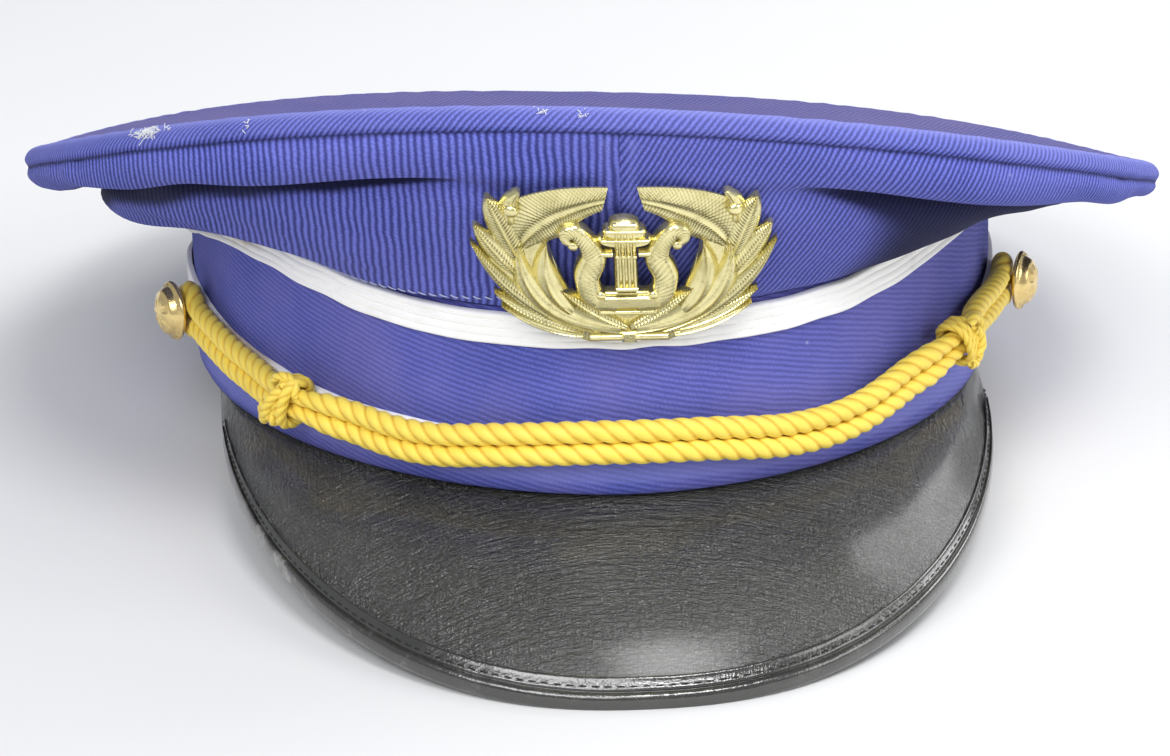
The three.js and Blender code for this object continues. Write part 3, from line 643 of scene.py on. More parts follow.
def sweatband_leather(name, sizes):
    """Brown sweatband: fine grain and darkened patches."""
    finish = Finish(name)
    at = finish.place()
    grain = finish.cells(at, 0.9)
    patch = finish.noise(at, 20.0, 4.0)
    darkened = (0.03, 0.016, 0.008)
    tone = finish.mix(finish.ramp(patch, 0.35, 0.7), sizes.sweatband, darkened)
    return finish.done({
        "Base Color": tone, "Roughness": finish.ramp(patch, 0.3, 0.7, 0.42, 0.62),
        "Normal": finish.bump(finish.ramp(grain, 0.0, 0.2) + patch * 0.4, 0.35, 0.25),
    })


def woven_braid(name, sizes):
    """Cream braid: slanted fine threads on its cords, grey dirt in the grooves and brown laid on where its
    lay marks it.
    """
    finish = Finish(name)
    across, along, stain = finish.lay()
    at = finish.place()
    slant = finish.wave(along * 1.3 + abs(across) * 1.6, 0.9)
    dirt = finish.noise(at, 7.0, 4.0)
    fibre = finish.noise(finish.vector(along * 0.6, across * 3.0), 0.35, 3.0, 0.7)
    tone = finish.mix(finish.ramp(dirt, 0.5, 0.8) * 0.25, sizes.braid, sizes.dirt)
    tone = finish.mix(slant * 0.05 + fibre * 0.08, tone, sizes.dirt)
    # Brown laid on where the lay's third value rises.
    browning = finish.ramp(stain + dirt * 0.5 - 0.25, 0.2, 0.75)
    tone = finish.mix(browning * 0.8, tone, sizes.stain)
    return finish.done({
        "Base Color": tone, "Roughness": finish.ramp(fibre, 0.2, 0.8, 0.6, 0.78),
        "Specular IOR Level": 0.35, "Sheen Weight": 0.15, "Sheen Roughness": 0.4,
        "Normal": finish.bump(slant * 0.5 + fibre * 0.6, 0.4, 0.2),
    })


def plain_thread(name, tone):
    """Sewing thread: two plies and a little fuzz."""
    finish = Finish(name)
    at = finish.place()
    fuzz = finish.noise(at, 0.35, 3.0, 0.7)
    return finish.done({
        "Base Color": finish.mix(fuzz * 0.5, tone, [0.5 * part for part in tone]),
        "Roughness": finish.ramp(fuzz, 0.2, 0.8, 0.55, 0.8), "Normal": finish.bump(fuzz, 0.5, 0.15),
    })


def crackled_vinyl(name, sizes, crackle, smooth):
    """Glossy vinyl lightened to olive-grey, partly dulled with age and partly painted sheen, crazed by fine
    lines along and across, scuffed grey in places.
    """
    finish = Finish(name)
    across, along, shade_and_wear = finish.lay()
    at = finish.place()
    sway = finish.noise(at, 5.0, 3.0) * 1.6
    plates = finish.cells(finish.vector(across * 0.9 + sway, along * 1.3 + sway * 0.7), 1.5, jitter=0.6)
    fine = finish.cells(finish.vector(across * 1.2 - sway * 0.5, along * 1.4 + sway), 0.8, jitter=0.55)
    wrinkle = finish.noise(finish.vector(across * 0.22, along * 1.7 + sway * 0.3), 1.4, 3.0, 0.65)
    upright = finish.noise(finish.vector(across * 1.7 + sway * 0.3, along * 0.3), 1.2, 2.0, 0.6)
    pebble = finish.noise(at, 0.6, 3.0, 0.65)
    zone = finish.ramp(finish.noise(at, 18.0, 3.0), 0.38, 0.6)
    crack = finish.ramp(plates, 0.0, 0.12)
    hair = finish.ramp(fine, 0.0, 0.14)
    weave = wrinkle * (1.7 - zone * 0.7) + upright * (zone * 0.8 + 0.4)
    height = crack * (zone * 0.2 + 0.08) + hair * 0.2 + weave + pebble * 0.4
    scuff = finish.ramp(finish.noise(at, 6.0, 5.0, 0.7), 0.5, 0.75)
    dust = finish.ramp(finish.noise(at, 45.0, 2.0), 0.3, 0.75)
    # Olive-grey lightening over the black: dulled vinyl and dust, with painted sheen standing in for the
    # reflection.
    tone = finish.mix(dust * 0.3 + scuff * 0.2 + 0.1, sizes.vinyl, sizes.haze_and_sheen)
    tone = finish.mix((1.0 - crack) * 0.4 * crackle, tone, sizes.vinyl)
    tone = finish.mix(shade_and_wear * scuff, tone, sizes.scuff)
    rough = finish.ramp(finish.noise(at, 13.0, 4.0), 0.3, 0.75, smooth, smooth + 0.1)
    rough = rough + scuff * 0.06 + shade_and_wear * 0.1
    return finish.done({
        "Base Color": tone, "Roughness": rough, "IOR": 1.8, "Coat Weight": 0.55,
        "Coat Roughness": 1.3 * smooth, "Normal": finish.bump(height, crackle, 0.5),
    })


def gold_rayon(name, sizes):
    """Twisted rayon: painted highlights on the filaments and plies along each strand, painted shade of deep
    gold in the grooves, and soiled patches of the same gold.
    """
    finish = Finish(name)
    across, along, groove = finish.lay()
    at = finish.place()
    filament = finish.noise(finish.vector(across * 4.0, along * 0.5), 0.55, 3.0, 0.6)
    ply = finish.wave(across, 0.62)
    soil = finish.noise(at, 11.0, 4.0)
    # Painted highlights: filaments and plies lightened towards the highlight gold.
    tone = finish.mix(filament * 0.6 + ply * 0.2, sizes.cord, sizes.cord_highlight)
    # Painted shade deep in the grooves between strands, and real soil in patches, both with the same darker
    # gold.
    tone = finish.mix(finish.ramp(groove, 0.58, 1.0) * 0.75, tone, sizes.cord_shade_and_soil)
    tone = finish.mix(finish.ramp(soil, 0.55, 0.8) * 0.3, tone, sizes.cord_shade_and_soil)
    return finish.done({
        "Base Color": tone, "Roughness": finish.ramp(filament, 0.2, 0.8, 0.38, 0.55),
        "Specular IOR Level": 0.5, "Sheen Weight": 0.1, "Sheen Roughness": 0.3,
        "Normal": finish.bump(filament * 0.8 + ply * 0.5, 0.35, 0.2),
    })


def stamped_brass(name, sizes, bright, dull):
    """Pale brass: bright and dull in patches of soft tarnish, brown in the recesses and, as painted shade, on
    faces turned down, with pits.
    """
    finish = Finish(name)
    _, _, recess = finish.lay()
    at = finish.place()
    tarnish = finish.noise(at, 4.0, 5.0, 0.65)
    pits = finish.ramp(finish.cells(at, 0.9, "F1"), 0.22, 0.1)
    spots = finish.ramp(finish.noise(at, 1.3, 3.0), 0.62, 0.72)
    tone = finish.mix(finish.ramp(tarnish, 0.35, 0.75) * 0.55, bright, dull)
    # The lay's third value brings the brown: patina in hollows, and on the badge painted shade on faces
    # turned down.
    tone = finish.mix(finish.ramp(recess, 0.15, 1.0) * 0.85, tone, sizes.brass_recess_and_shade)
    tone = finish.mix(spots * 0.35, tone, sizes.brass_recess_and_shade)
    rough = finish.ramp(tarnish, 0.3, 0.75, 0.18, 0.3) + recess * 0.12
    return finish.done({
        "Base Color": tone, "Metallic": 0.92, "Roughness": rough,
        "Normal": finish.bump(tarnish * 0.5 - pits * 0.5, 0.2, 0.15),
    })


def studio_floor(name, tone):
    """Pale matt floor with a barely seen mottle."""
    finish = Finish(name)
    mottle = finish.noise(finish.place(), 120.0, 3.0)
    pale = finish.mix(mottle, tone, [0.96 * part for part in tone])
    return finish.done({"Base Color": pale, "Roughness": 0.85, "Specular IOR Level": 0.2})


# What a user would change.
def paint(name, description, *rgb):
    """A colour setting."""
    return FloatVectorProperty(name=name, description=description, subtype="COLOR", default=rgb)


def spacing(name, description, size, low, high):
    """A setting in millimetres."""
    description = f"{description} in millimetres"
    return FloatProperty(name=name, description=description, default=size, min=low, max=high)


def watts(name, description, power):
    """A light's power."""
    return FloatProperty(name=name, description=description, subtype="POWER", unit="POWER", default=power,
                         min=0)


class ClothSettings(bpy.types.PropertyGroup):
    """Colours and rib spacing of the wool cloth."""

    # Rib and Groove, and their faded pair: painted light on the ribs and painted shade between them, with the
    # fibres' own tone.
    light: paint("Rib", "Colour on the ribs", 0.155, 0.185, 0.65)
    deep: paint("Groove", "Colour between the ribs", 0.03, 0.036, 0.19)
    faded: paint("Faded", "Colour of worn ribs", 0.185, 0.18, 0.53)
    faded_deep: paint("Faded groove", "Colour between worn ribs", 0.07, 0.066, 0.25)
    dusty: paint("Dusty", "Colour of the dusty top", 0.18, 0.158, 0.34)
    # Rubbed: fuzz on rubbed edges, and painted light on the band's lower strip.
    rubbed: paint("Rubbed", "Colour of fuzzy rubbed edges", 0.26, 0.28, 0.7)
    # Painted shade: the colour of the shade under the roll and in seams and folds.
    painted_shade: paint("Crease", "Colour deep in the folds", 0.006, 0.007, 0.036)
    lint: paint("Lint", "Colour of caught fluff", 0.82, 0.84, 0.86)
    lining: paint("Lining", "Colour inside the crown", 0.02, 0.018, 0.02)
    sweatband: paint("Sweatband", "Colour inside the band", 0.1, 0.05, 0.022)
    crown_pitch: spacing("Crown ribs", "Spacing of the crown's ribs", 1.45, 0.4, 4.0)
    band_pitch: spacing("Band ribs", "Spacing of the band's ribs", 1.06, 0.4, 4.0)


class TrimSettings(bpy.types.PropertyGroup):
    """Colours of the braid and the chin cord, and the cord's twist."""

    braid: paint("Braid", "Clean braid", 0.97, 0.96, 0.93)
    dirt: paint("Dirt", "Dirt in the braid", 0.5, 0.48, 0.43)
    # Brown laid on near the left end of the braids, towards their upper edge.
    stain: paint("Stain", "Brown stain on the braid", 0.52, 0.4, 0.26)
    cord: paint("Cord", "Gold of the cord", 0.88, 0.6, 0.025)
    # Painted highlight on the cord's filaments.
    cord_highlight: paint("Cord light", "Filaments that catch the light", 0.99, 0.85, 0.21)
    # Painted shade in the cord's grooves, also used for its soiled patches.
    cord_shade_and_soil: paint("Cord deep", "Gold between the strands", 0.7, 0.36, 0.008)
    lead: spacing("Lead", "Length of one full twist of the cord", 10.6, 4.0, 40.0)


class VinylSettings(bpy.types.PropertyGroup):
    """Colours of the peak."""

    vinyl: paint("Vinyl", "Black of the peak", 0.014, 0.014, 0.011)
    # Dulled vinyl together with painted sheen.
    haze_and_sheen: paint("Haze", "Dulled vinyl", 0.05, 0.05, 0.038)
    scuff: paint("Scuff", "Scuffed edge", 0.34, 0.34, 0.31)


class BrassSettings(bpy.types.PropertyGroup):
    """Colours of the badge and the buttons."""

    brass: paint("Brass", "Bright brass of the badge", 0.88, 0.8, 0.42)
    brass_dull: paint("Dull", "Tarnished brass of the badge", 0.52, 0.46, 0.18)
    # Recess brown, also painted shade on the badge's faces turned down.
    brass_recess_and_shade: paint("Recess", "Brown in the recesses", 0.13, 0.11, 0.04)
    button: paint("Button", "Bright brass of the buttons", 0.88, 0.68, 0.3)
    button_dull: paint("Dull button", "Tarnished brass of the buttons", 0.6, 0.4, 0.13)


class StageSettings(bpy.types.PropertyGroup):
    """Floor and lights."""

    floor: paint("Floor", "Colour of the floor", 0.78, 0.78, 0.78)
    key: watts("Key light", "Power of the main soft light", 16)
    fill: watts("Fill light", "Power of the light from the right", 6)
    top: watts("Top light", "Power of the light overhead", 9)
    back: watts("Back light", "Power of the light behind on the right", 9)


class CAP_OT_crown(bpy.types.Operator):
    """Make the top plate and the four side panels of the crown."""

    bl_idname = "cap.crown"
    bl_label = "Crown"
    rounds, spans, top_spans, sharp = 90, 7, 8, 70
    fold_station, fold_end, edge_station, seam_gap = 5, (6.4, 5.4), 3.4, 0.04
    shade_low, shade_high, shade_right, shade_turn = 19.0, 29.0, 45.0, (8, 24)
    fine_share, tuck, hem, faint, free_share = 0.7, 0.1, 0.01, 0.04, (0.05, 0.25)
    seam = Sizes(sink=0.5, width=1.6, ridge=0.16, ridge_off=2.4, ridge_width=0.7, dark=0.25, dark_width=0.5,
                 rub=0.3, rub_width=0.8)
    rim = Sizes(sink=0.3, width=1.2, pucker=0.16, pucker_width=5.0, dark=0.75, dark_width=0.7, rub=0.12,
                rub_off=2.5, rub_width=2.0)
    drape = Sizes(slump=0.35, pull=0.3, per_length=0.5, per_degree=0.35, turn=(20, 60))
    roll = Sizes(sink=0.3, width=0.9, pucker=0.07, pucker_at=6, pucker_width=6.0, dark=0.7, dark_width=0.6,
                 rub=0.6, rub_off=1.2, rub_width=1.8, rub_all=0.25, level=(1.2, 2.8), lean=40)
    plate = Sizes(slack=0.9, slack_run=(8, 45), lean=24, area_share=0.8)
    quarters = {"rear_left": (-180, -90, 2.0), "front_left": (-90, FRONT_SEAM, -2.0),
                "front_right": (FRONT_SEAM, 90, 27.0), "rear_right": (90, 180, 24.0)}

    def execute(self, context):
        sizes = context.scene.cap_cloth
        fine = sizes.crown_pitch * self.fine_share
        cloth = {"left": ribbed_cloth("crown_cloth", sizes, sizes.crown_pitch, 1.0, 0.3, sizes.faded),
                 "right": ribbed_cloth("right_cloth", sizes, fine, 0.9, 0.3, sizes.faded)}
        lining = lining_cloth("crown_lining", sizes)
        for name, (start, end, lean) in self.quarters.items():
            side = name.split("_")[1]
            self.panel(name, math.radians(start), math.radians(end), lean, cloth[side], lining)
        self.top([ribbed_cloth("rim_cloth", sizes, fine, 0.95, 0.4, sizes.faded),
                  ribbed_cloth("top_cloth", sizes, sizes.crown_pitch, 0.5, 1.0, sizes.dusty, 0.8), lining])
        return {"FINISHED"}

    def panel(self, name, start, end, lean, cloth, lining):
        """One quarter: rolled under the rim, sagging, sunk at its seams."""
        rng = np.random.default_rng(SEED)
        seam_half = self.seam_gap / 2 / BAND.half_length
        angle = np.linspace(start + seam_half, end - seam_half, self.rounds + 1)
        outer = through(panel_lines(angle), self.spans)
        up = lengths_along(outer)
        share = up / up[:, -1:]
        to_rim = up[:, -1:] - up
        radius = np.hypot(outer[..., 0], outer[..., 1])
        to_seam = np.minimum(angle - angle[0], angle[-1] - angle)[:, None] * radius
        turn = np.abs(np.degrees(angle))[:, None]
        free = smoothstep(share, *self.free_share)
        seam, rim, drape = self.seam, self.rim, self.drape
        sink = seam.sink * bell(to_seam, seam.width) * free + rim.sink * bell(to_rim, rim.width)
        sink = sink - seam.ridge * bell(to_seam - seam.ridge_off, seam.ridge_width) * free
        pucker = rim.pucker * waves(angle, 45, 90, 5, rng)[:, None] * bell(to_rim, rim.pucker_width)
        slump = drape.slump * waves(angle, 9, 26, 5, rng)[:, None] * np.sin(np.pi * share) * free
        pull = np.sin(up * drape.per_length + np.degrees(angle)[:, None] * drape.per_degree)
        pull = drape.pull * pull * free * smoothstep(turn, *drape.turn)
        outer = outer + grid_normals(outer, False) * (pucker + slump + pull - sink)[..., None]
        foot_way, rim_way = lengths_along(outer[:, 0]), lengths_along(outer[:, -1])
        rim_x = outer[:, -1, 0]
        order = np.argsort(rim_x)
        round_way = np.interp(outer[..., 0], rim_x[order], rim_way[order])
        # Painted shade: dark under the roll where it shuts out the light, and along the side seams and the
        # rim seam; lighter where the cloth is rubbed.
        dark = self.shade(outer, angle) * smoothstep(turn, *self.shade_turn)
        seam_shade = seam.dark * bell(to_seam, seam.dark_width) + rim.dark * bell(to_rim, rim.dark_width)
        painted_shade = np.maximum(dark, seam_shade)
        rubbed = (rim.rub * bell(to_rim - rim.rub_off, rim.rub_width)
                  + seam.rub * bell(to_seam - seam.ridge_off, seam.rub_width) * free)
        shade_and_wear = np.where(painted_shade > self.faint, painted_shade, -rubbed)
        inner = outer - grid_normals(outer, False) * CROWN.cloth
        build = Build()
        build.shell(outer, inner, self.slanted(round_way, up, lean, shade_and_wear), inner_kind=1)
        made = build.object(f"panel_{name}", [cloth, lining], "cloth", f"quarter_{name}", self.sharp)

    def shade(self, outer, angle):
        """How far the roll above shuts each point of its line off from the light."""
        outward = points_of(np.sin(angle), -np.cos(angle), 0)
        out = (outer * outward[:, None]).sum(axis=-1)
        high = outer[..., 2]
        inmost = self.fold_station * self.spans
        run = out[:, None, inmost:] - out[..., None]
        rise = high[:, None, inmost:] - high[..., None]
        opening = np.where(run > 0.2, np.degrees(np.arctan2(rise, run)), 90).min(axis=-1)
        right = smoothstep(np.sin(angle), 0.2, 0.7)[:, None]
        shut_at, open_at = (limit + self.shade_right * share * right
                            for limit, share in ((self.shade_low, 0.35), (self.shade_high, 1.0)))
        dark = 1 - smoothstep(opening, shut_at, open_at)
        station = np.arange(outer.shape[1]) / self.spans
        return np.where(station < self.fold_station, dark, dark * smoothstep(station, *self.fold_end))

    def top(self, finishes):
        """The top plate and the strip of its edge, rolled down to the rim seam."""
        roll, plate = self.roll, self.plate
        rng = np.random.default_rng(SEED)
        angle = np.linspace(-math.pi, math.pi, 4 * self.rounds, endpoint=False)
        seam = rim_point(angle)
        outward = points_of(np.sin(angle), -np.cos(angle), 0)
        edge = [seam + outward * out + np.array([0, 0, rise]) for out, rise in TOP_EDGE_LINE]
        level = [rim_point(angle, share, TOP.rise) for share in TOP_SHARES]
        outer = through(np.stack(edge + level, axis=1), self.top_spans)
        run = lengths_along(outer)
        split = int(self.edge_station * self.top_spans)
        to_edge = run - run[:, split:split + 1]
        sink = roll.sink * bell(run, roll.width)
        near_seam = bell(run - roll.pucker_at, roll.pucker_width)
        pucker = roll.pucker * waves(angle, 50, 110, 6, rng)[:, None] * near_seam
        radius = np.hypot(outer[..., 0], outer[..., 1]) / RIM.half_width
        loose = smoothstep(run, *plate.slack_run)
        slack = plate.slack * waves(angle, 2, 7, 4, rng)[:, None] * radius ** 2 * loose
        outer = outer + grid_normals(outer, True) * (pucker + slack - sink)[..., None]
        outer[:, -1] = outer[:, -2].mean(axis=0)
        fall = smoothstep(np.arange(outer.shape[1]) / self.top_spans, *roll.level)[None, :, None]
        inner = outer - CROWN.cloth * (outward[:, None] * (1 - fall) + np.array([0, 0, 1.0]) * fall)
        # Painted shade along the rim seam at the foot of the strip; elsewhere the strip is lighter with
        # rubbed fuzz.
        dark = np.clip(roll.dark * bell(run, roll.dark_width), 0, 1)
        rub = roll.rub * bell(to_edge + roll.rub_off, roll.rub_width) + roll.rub_all
        shade_and_wear = np.where(dark > self.faint, dark, -rub)
        round_way = lengths_along(np.concatenate([seam, seam[:1]]))[:-1, None]
        strip_lay = self.slanted(round_way * np.ones_like(run), run, roll.lean, shade_and_wear)
        plate_lay = self.slanted(outer[..., 0], outer[..., 1], plate.lean, 0.0)
        build = Build()
        strip = slice(0, split + 1)
        build.shell(outer[:, strip], inner[:, strip], strip_lay[:, strip], closed=True, inner_kind=2)
        for sheet in (outer, inner):
            sheet[:, split - 1, 2] -= self.tuck
        rest = slice(split - 1, None)
        build.shell(outer[:, rest], inner[:, rest], plate_lay[:, rest], closed=True, kind=1, inner_kind=2)
        made = build.object("top_plate", finishes, "cloth", "crown_top", self.sharp)

    def slanted(self, across, along, degrees, shade_and_wear):
        """Cloth coordinates turned so that the ribs run at a slant."""
        lean = math.radians(degrees)
        return points_of(across * math.cos(lean) - along * math.sin(lean),
                         across * math.sin(lean) + along * math.cos(lean), shade_and_wear)


def round_angles(count):
    """Angles right round the band, from the rear by the left and back to the rear."""
    return np.linspace(-math.pi, math.pi, count + 1)


def band_run(angle):
    """Distance round the band's outer face from the front, to the right."""
    fine = round_angles(1440)
    run = lengths_along(band_point(fine, 0.0))
    return np.interp(angle, fine, run - np.interp(0.0, fine, run))


class CAP_OT_band(bpy.types.Operator):
    """Make the head band with its sweatband."""

    bl_idname = "cap.band"
    bl_label = "Band"
    rounds, rows, lean, sharp, faint = 360, 26, 13, 60, 0.04
    # The bottom edge: sunk, with painted shade along it and painted light on the strip above.
    low = Sizes(sink=0.9, width=1.2, dark=0.5, dark_width=1.0, rub=0.6, rub_height=5.0, rub_width=4.5)
    high = Sizes(sink=0.5, width=1.0)
    rear = Sizes(sink=0.7, width=1.2, dark=0.6)
    ripple, inner_share, rib_depth, fade = 0.3, 0.2, 0.36, 0.95

    def execute(self, context):
        sizes, low, high, rear = context.scene.cap_cloth, self.low, self.high, self.rear
        angle = round_angles(self.rounds)
        rng = np.random.default_rng(SEED + 7)
        share = np.linspace(0, 1, self.rows + 1)[None]
        top = band_top(angle)[:, None]
        height = top * share
        edges = low.sink * bell(height, low.width) + high.sink * bell(top - height, high.width)
        ripple = self.ripple * waves(angle, 8, 30, 6, rng)[:, None] * np.sin(np.pi * share)
        seam = rear.sink * bell((math.pi - np.abs(angle))[:, None] * BAND.half_width, rear.width)
        outer = band_point(angle[:, None], height, ripple - edges - seam)
        inner = band_point(angle[:, None], height, -BAND.wall + self.inner_share * ripple)
        run = band_run(angle)[:, None]
        lean = math.radians(self.lean)
        # Painted shade along the bottom edge and in the rear seam; above the bottom edge the rubbed colour is
        # painted light.
        dark = np.clip(low.dark * bell(height, low.dark_width) + rear.dark * seam, 0, 1)
        shade_and_wear = np.where(dark > self.faint, dark, -low.rub * bell(height - low.rub_height, low.rub_width))
        lay = points_of(run * math.sin(lean) + height * math.cos(lean),
                        run * math.cos(lean) - height * math.sin(lean), shade_and_wear)
        build = Build()
        build.shell(outer, inner, lay, inner_kind=1)
        cloth = ribbed_cloth("band_cloth", sizes, sizes.band_pitch, self.rib_depth, self.fade, sizes.faded)
        leather = sweatband_leather("sweatband", sizes)
        build.object("head_band", [cloth, leather], "cloth", "band", self.sharp)
        return {"FINISHED"}


class CAP_OT_braids(bpy.types.Operator):
    """Make the two white braids and the stitches above the upper one."""

    bl_idname = "cap.braids"
    bl_label = "Braids"
    rounds, per_cord, sharp = 420, 10, 75
    cord_depth, cord_power, edge_share, sway = 0.34, 0.45, 0.12, 0.12
    stain_angle, stain_width, stain_low = -58.0, 7.0, 0.55
    dash_angles, dash_length, dash_gap, dash_up = (-44.0, -14.0), 1.3, 1.0, (3.2, 4.1)
    dash_lift, dash_width, dash_high, thread_tone = 0.1, 0.16, 0.1, (0.5, 0.54, 0.78)

    def execute(self, context):
        finish = woven_braid("white_braid", context.scene.cap_trim)
        thread = plain_thread("white_thread", self.thread_tone)
        angle = round_angles(self.rounds)
        upper = band_top(angle) - BRAID.upper_inset - BRAID.upper_width / 2
        lower = BRAID.lower_height + BRAID.lower_rise * np.abs(np.sin(angle)) ** BRAID.lower_power
        self.braid("upper", angle, upper, BRAID.upper_width, 4, finish)
        self.braid("lower", angle, lower, BRAID.lower_width, 3, finish)
        self.dashes(thread)
        return {"FINISHED"}

    def braid(self, name, angle, middle, width, cords, finish):
        """One braid of cords laid side by side, sewn flat to the band."""
        across = np.linspace(-1, 1, cords * self.per_cord + 1)
        cord = np.abs(np.sin(np.pi * (across + 1) / 2 * cords)) ** self.cord_power
        edge = np.clip((1 - np.abs(across)) / self.edge_share, 0, 1) ** 0.5
        off = GAP + (BRAID.thick - self.cord_depth) * edge + self.cord_depth * cord * edge
        rng = np.random.default_rng(SEED + cords)
        sway = self.sway * waves(angle, 12, 50, 5, rng)
        height = (middle + sway)[:, None] + across[None] * width / 2
        outer = band_point(angle[:, None], height, off[None])
        inner = band_point(angle[:, None], height, GAP * 0.6)
        turn = np.degrees(angle)[:, None]
        # Browner near the left end, more so towards the braid's upper edge.
        upper = self.stain_low + (1 - self.stain_low) * across[None]
        stain = bell(turn - self.stain_angle, self.stain_width) * upper
        lay = points_of(across[None] * width / 2, band_run(angle)[:, None], stain)
        build = Build()
        build.shell(outer, inner, lay)
        build.object(f"white_braid_{name}", [finish], "braid", f"braid_{name}", self.sharp)

    def dashes(self, finish):
        """Slanted pale stitches through the panel's lower edge, just above the upper braid."""
        angle = np.radians(np.linspace(*self.dash_angles, 160))
        line = through(panel_lines(angle), 12)
        run = lengths_along(line)

        def at(distance):
            parts = [[np.interp(distance, way, part) for part in points.T] for way, points in zip(run, line)]
            return np.array(parts)

        low, high = (at(distance) for distance in self.dash_up)
        normal = grid_normals(np.stack([low, (low + high) / 2, high], axis=1), False)[:, 1]
        along = lengths_along(low)
        starts = np.arange(0, along[-1] - self.dash_length, self.dash_length + self.dash_gap)

        def along_edge(points, places):
            return np.stack([np.interp(places, along, part) for part in points.T], axis=1)

        lift = along_edge(normal, starts)
        begin = along_edge(high, starts) + self.dash_lift * lift
        end = along_edge(low, starts + self.dash_length) + self.dash_lift * lift
        build = Build()
        add_stitches(build, begin, end, lift, self.dash_width, self.dash_high)
        build.object("braid_stitches", [finish], "braid")


class CAP_OT_peak(bpy.types.Operator):
    """Make the vinyl peak, its bound edge and the stitches along it."""

    bl_idname = "cap.peak"
    bl_label = "Peak"
    rounds, rows, sharp, crowding = 150, 54, 60, 1.8
    stitch, stitch_gap, stitch_inside, stitch_width, stitch_high = 1.5, 0.8, 2.3, 0.16, 0.1
    stitch_sunk, thread_tone = 0.6, (0.012, 0.011, 0.01)
    swell, ripple = Sizes(high=0.22, waves=(3, 14, 5)), Sizes(high=0.15, out=9, turn=4)
    uneven = Sizes(high=0.1, waves=(6, 40, 6))
    worn = Sizes(at=-0.6, width=1.6, left=(0.05, 0.6), share=0.9, edge=0.12, edge_width=1.5)

    def execute(self, context):
        sizes = context.scene.cap_vinyl
        self.sheet(crackled_vinyl("peak_vinyl", sizes, crackle=1.0, smooth=0.16))
        self.binding(crackled_vinyl("binding_vinyl", sizes, crackle=0.15, smooth=0.07))
        self.stitches(plain_thread("black_thread", self.thread_tone))
        return {"FINISHED"}

    def places(self):
        """Shares round the peak, closer together at its ends."""
        even = np.linspace(-1, 1, self.rounds + 1)
        return np.sign(even) * (1 - (1 - np.abs(even)) ** self.crowding)

    def sheet(self, vinyl):
        """The peak's stiff sheet, a little uneven where the vinyl has bubbled."""
        rng = np.random.default_rng(SEED + 3)
        share = self.places()[:, None]
        out = np.linspace(0, 1, self.rows + 1)[None]
        turn = share * math.pi / 2
        bow = np.sin(np.pi * out)
        swell = self.swell.high * waves(turn * 2, *self.swell.waves, rng) * bow
        swell = swell + self.ripple.high * np.sin(out * self.ripple.out + turn * self.ripple.turn) * bow
        outer = peak_points(share, out, swell)
        inner = peak_points(share, out, -PEAK.thick)
        lay = points_of(outer[..., 0], np.broadcast_to(-outer[..., 1], outer.shape[:2]), 0.0)
        build = Build()
        build.shell(outer[::-1], inner[::-1], lay[::-1])
        build.object("visor", [vinyl], "black_vinyl", "peak", self.sharp)

    def binding(self, vinyl):
        """The strip folded round the free edge."""
        top, low = GAP + BINDING.wall, -PEAK.thick - GAP - BINDING.wall
        middle = -PEAK.thick / 2
        wide = BINDING.width
        fold = [(wide, GAP), (wide - 0.1, top - 0.65), (wide - 0.4, top - 0.5), (wide - 1.0, top - 0.55),
                (2.2, top - 0.58), (1.7, top - 0.62), (1.4, top - 0.88), (1.15, top - 0.6), (0.7, top - 0.22),
                (0.1, top - 0.15), (-0.5, top - 0.45), (-1.05, -0.1), (-GAP - BINDING.wall, middle),
                (-1.0, low + 0.8), (-0.3, low + 0.2), (0.6, low + 0.02), (2.0, low), (wide - 0.4, low),
                (wide, low + 0.5)]
        fold = line_through(fold, 4)
        slot = [(wide, -PEAK.thick - GAP), (-GAP, -PEAK.thick - GAP), (-GAP, middle), (-GAP, GAP)]
        ring = np.concatenate([fold, np.array(slot)])
        share = self.places()
        share = share[np.abs(share) <= 1 - BINDING.start_share][:, None]
        length = np.linalg.norm(peak_frame(share)[1], axis=-1)
        room = np.minimum(length * 0.6 / wide, 1)
        inside = np.where(ring[None, :, 0] > 0, ring[None, :, 0] * room, ring[None, :, 0])
        rng = np.random.default_rng(SEED + 5)
        uneven = self.uneven.high * waves(share[:, 0] * 3, *self.uneven.waves, rng)[:, None]
        rings = binding_point(share, inside, ring[None, :, 1] + uneven * (ring[None, :, 1] > GAP))
        worn = self.worn
        scuffed = bell(ring[:, 0] - worn.at, worn.width)[None] * smoothstep(-share, *worn.left) * worn.share
        scuffed = scuffed + worn.edge * bell(ring[:, 0], worn.edge_width)[None]
        lay = points_of(rings[..., 0], -rings[..., 1], scuffed)
        build = Build()
        build.rings(rings[:, ::-1], lay[:, ::-1])
        build.object("visor_binding", [vinyl], "black_vinyl", "peak_binding", self.sharp)

    def stitches(self, thread):
        """One row of thread along the binding."""
        share = np.linspace(-1 + BINDING.start_share, 1 - BINDING.start_share, 1200)
        line = binding_point(share, self.stitch_inside, GAP + BINDING.wall - self.stitch_sunk)
        spots, _ = evenly(line, self.stitch + self.stitch_gap)
        share_at = np.interp(lengths_along(spots), lengths_along(line), share)
        lift = peak_frame(share_at)[2]
        along = unit(np.gradient(spots, axis=0)) * self.stitch
        build = Build()
        add_stitches(build, spots, spots + along, lift, self.stitch_width, self.stitch_high)
        build.object("visor_stitches", [thread], "black_vinyl")


def button_angle():
    """Where the side buttons sit, as an angle from the front."""
    ahead = (BAND.widest_y - BUTTON.y) / (BAND.half_length + BAND.widest_y)
    return math.acos(ahead ** (BAND.power / 2))


def band_outward(angle):
    """The band's level outward direction."""
    return unit(band_point(angle, 0.0, 10.0) - band_point(angle, 0.0))


def run_angle(run):
    """The angle at a distance round the band from the front."""
    fine = round_angles(1440)
    return np.interp(run, band_run(fine), fine)


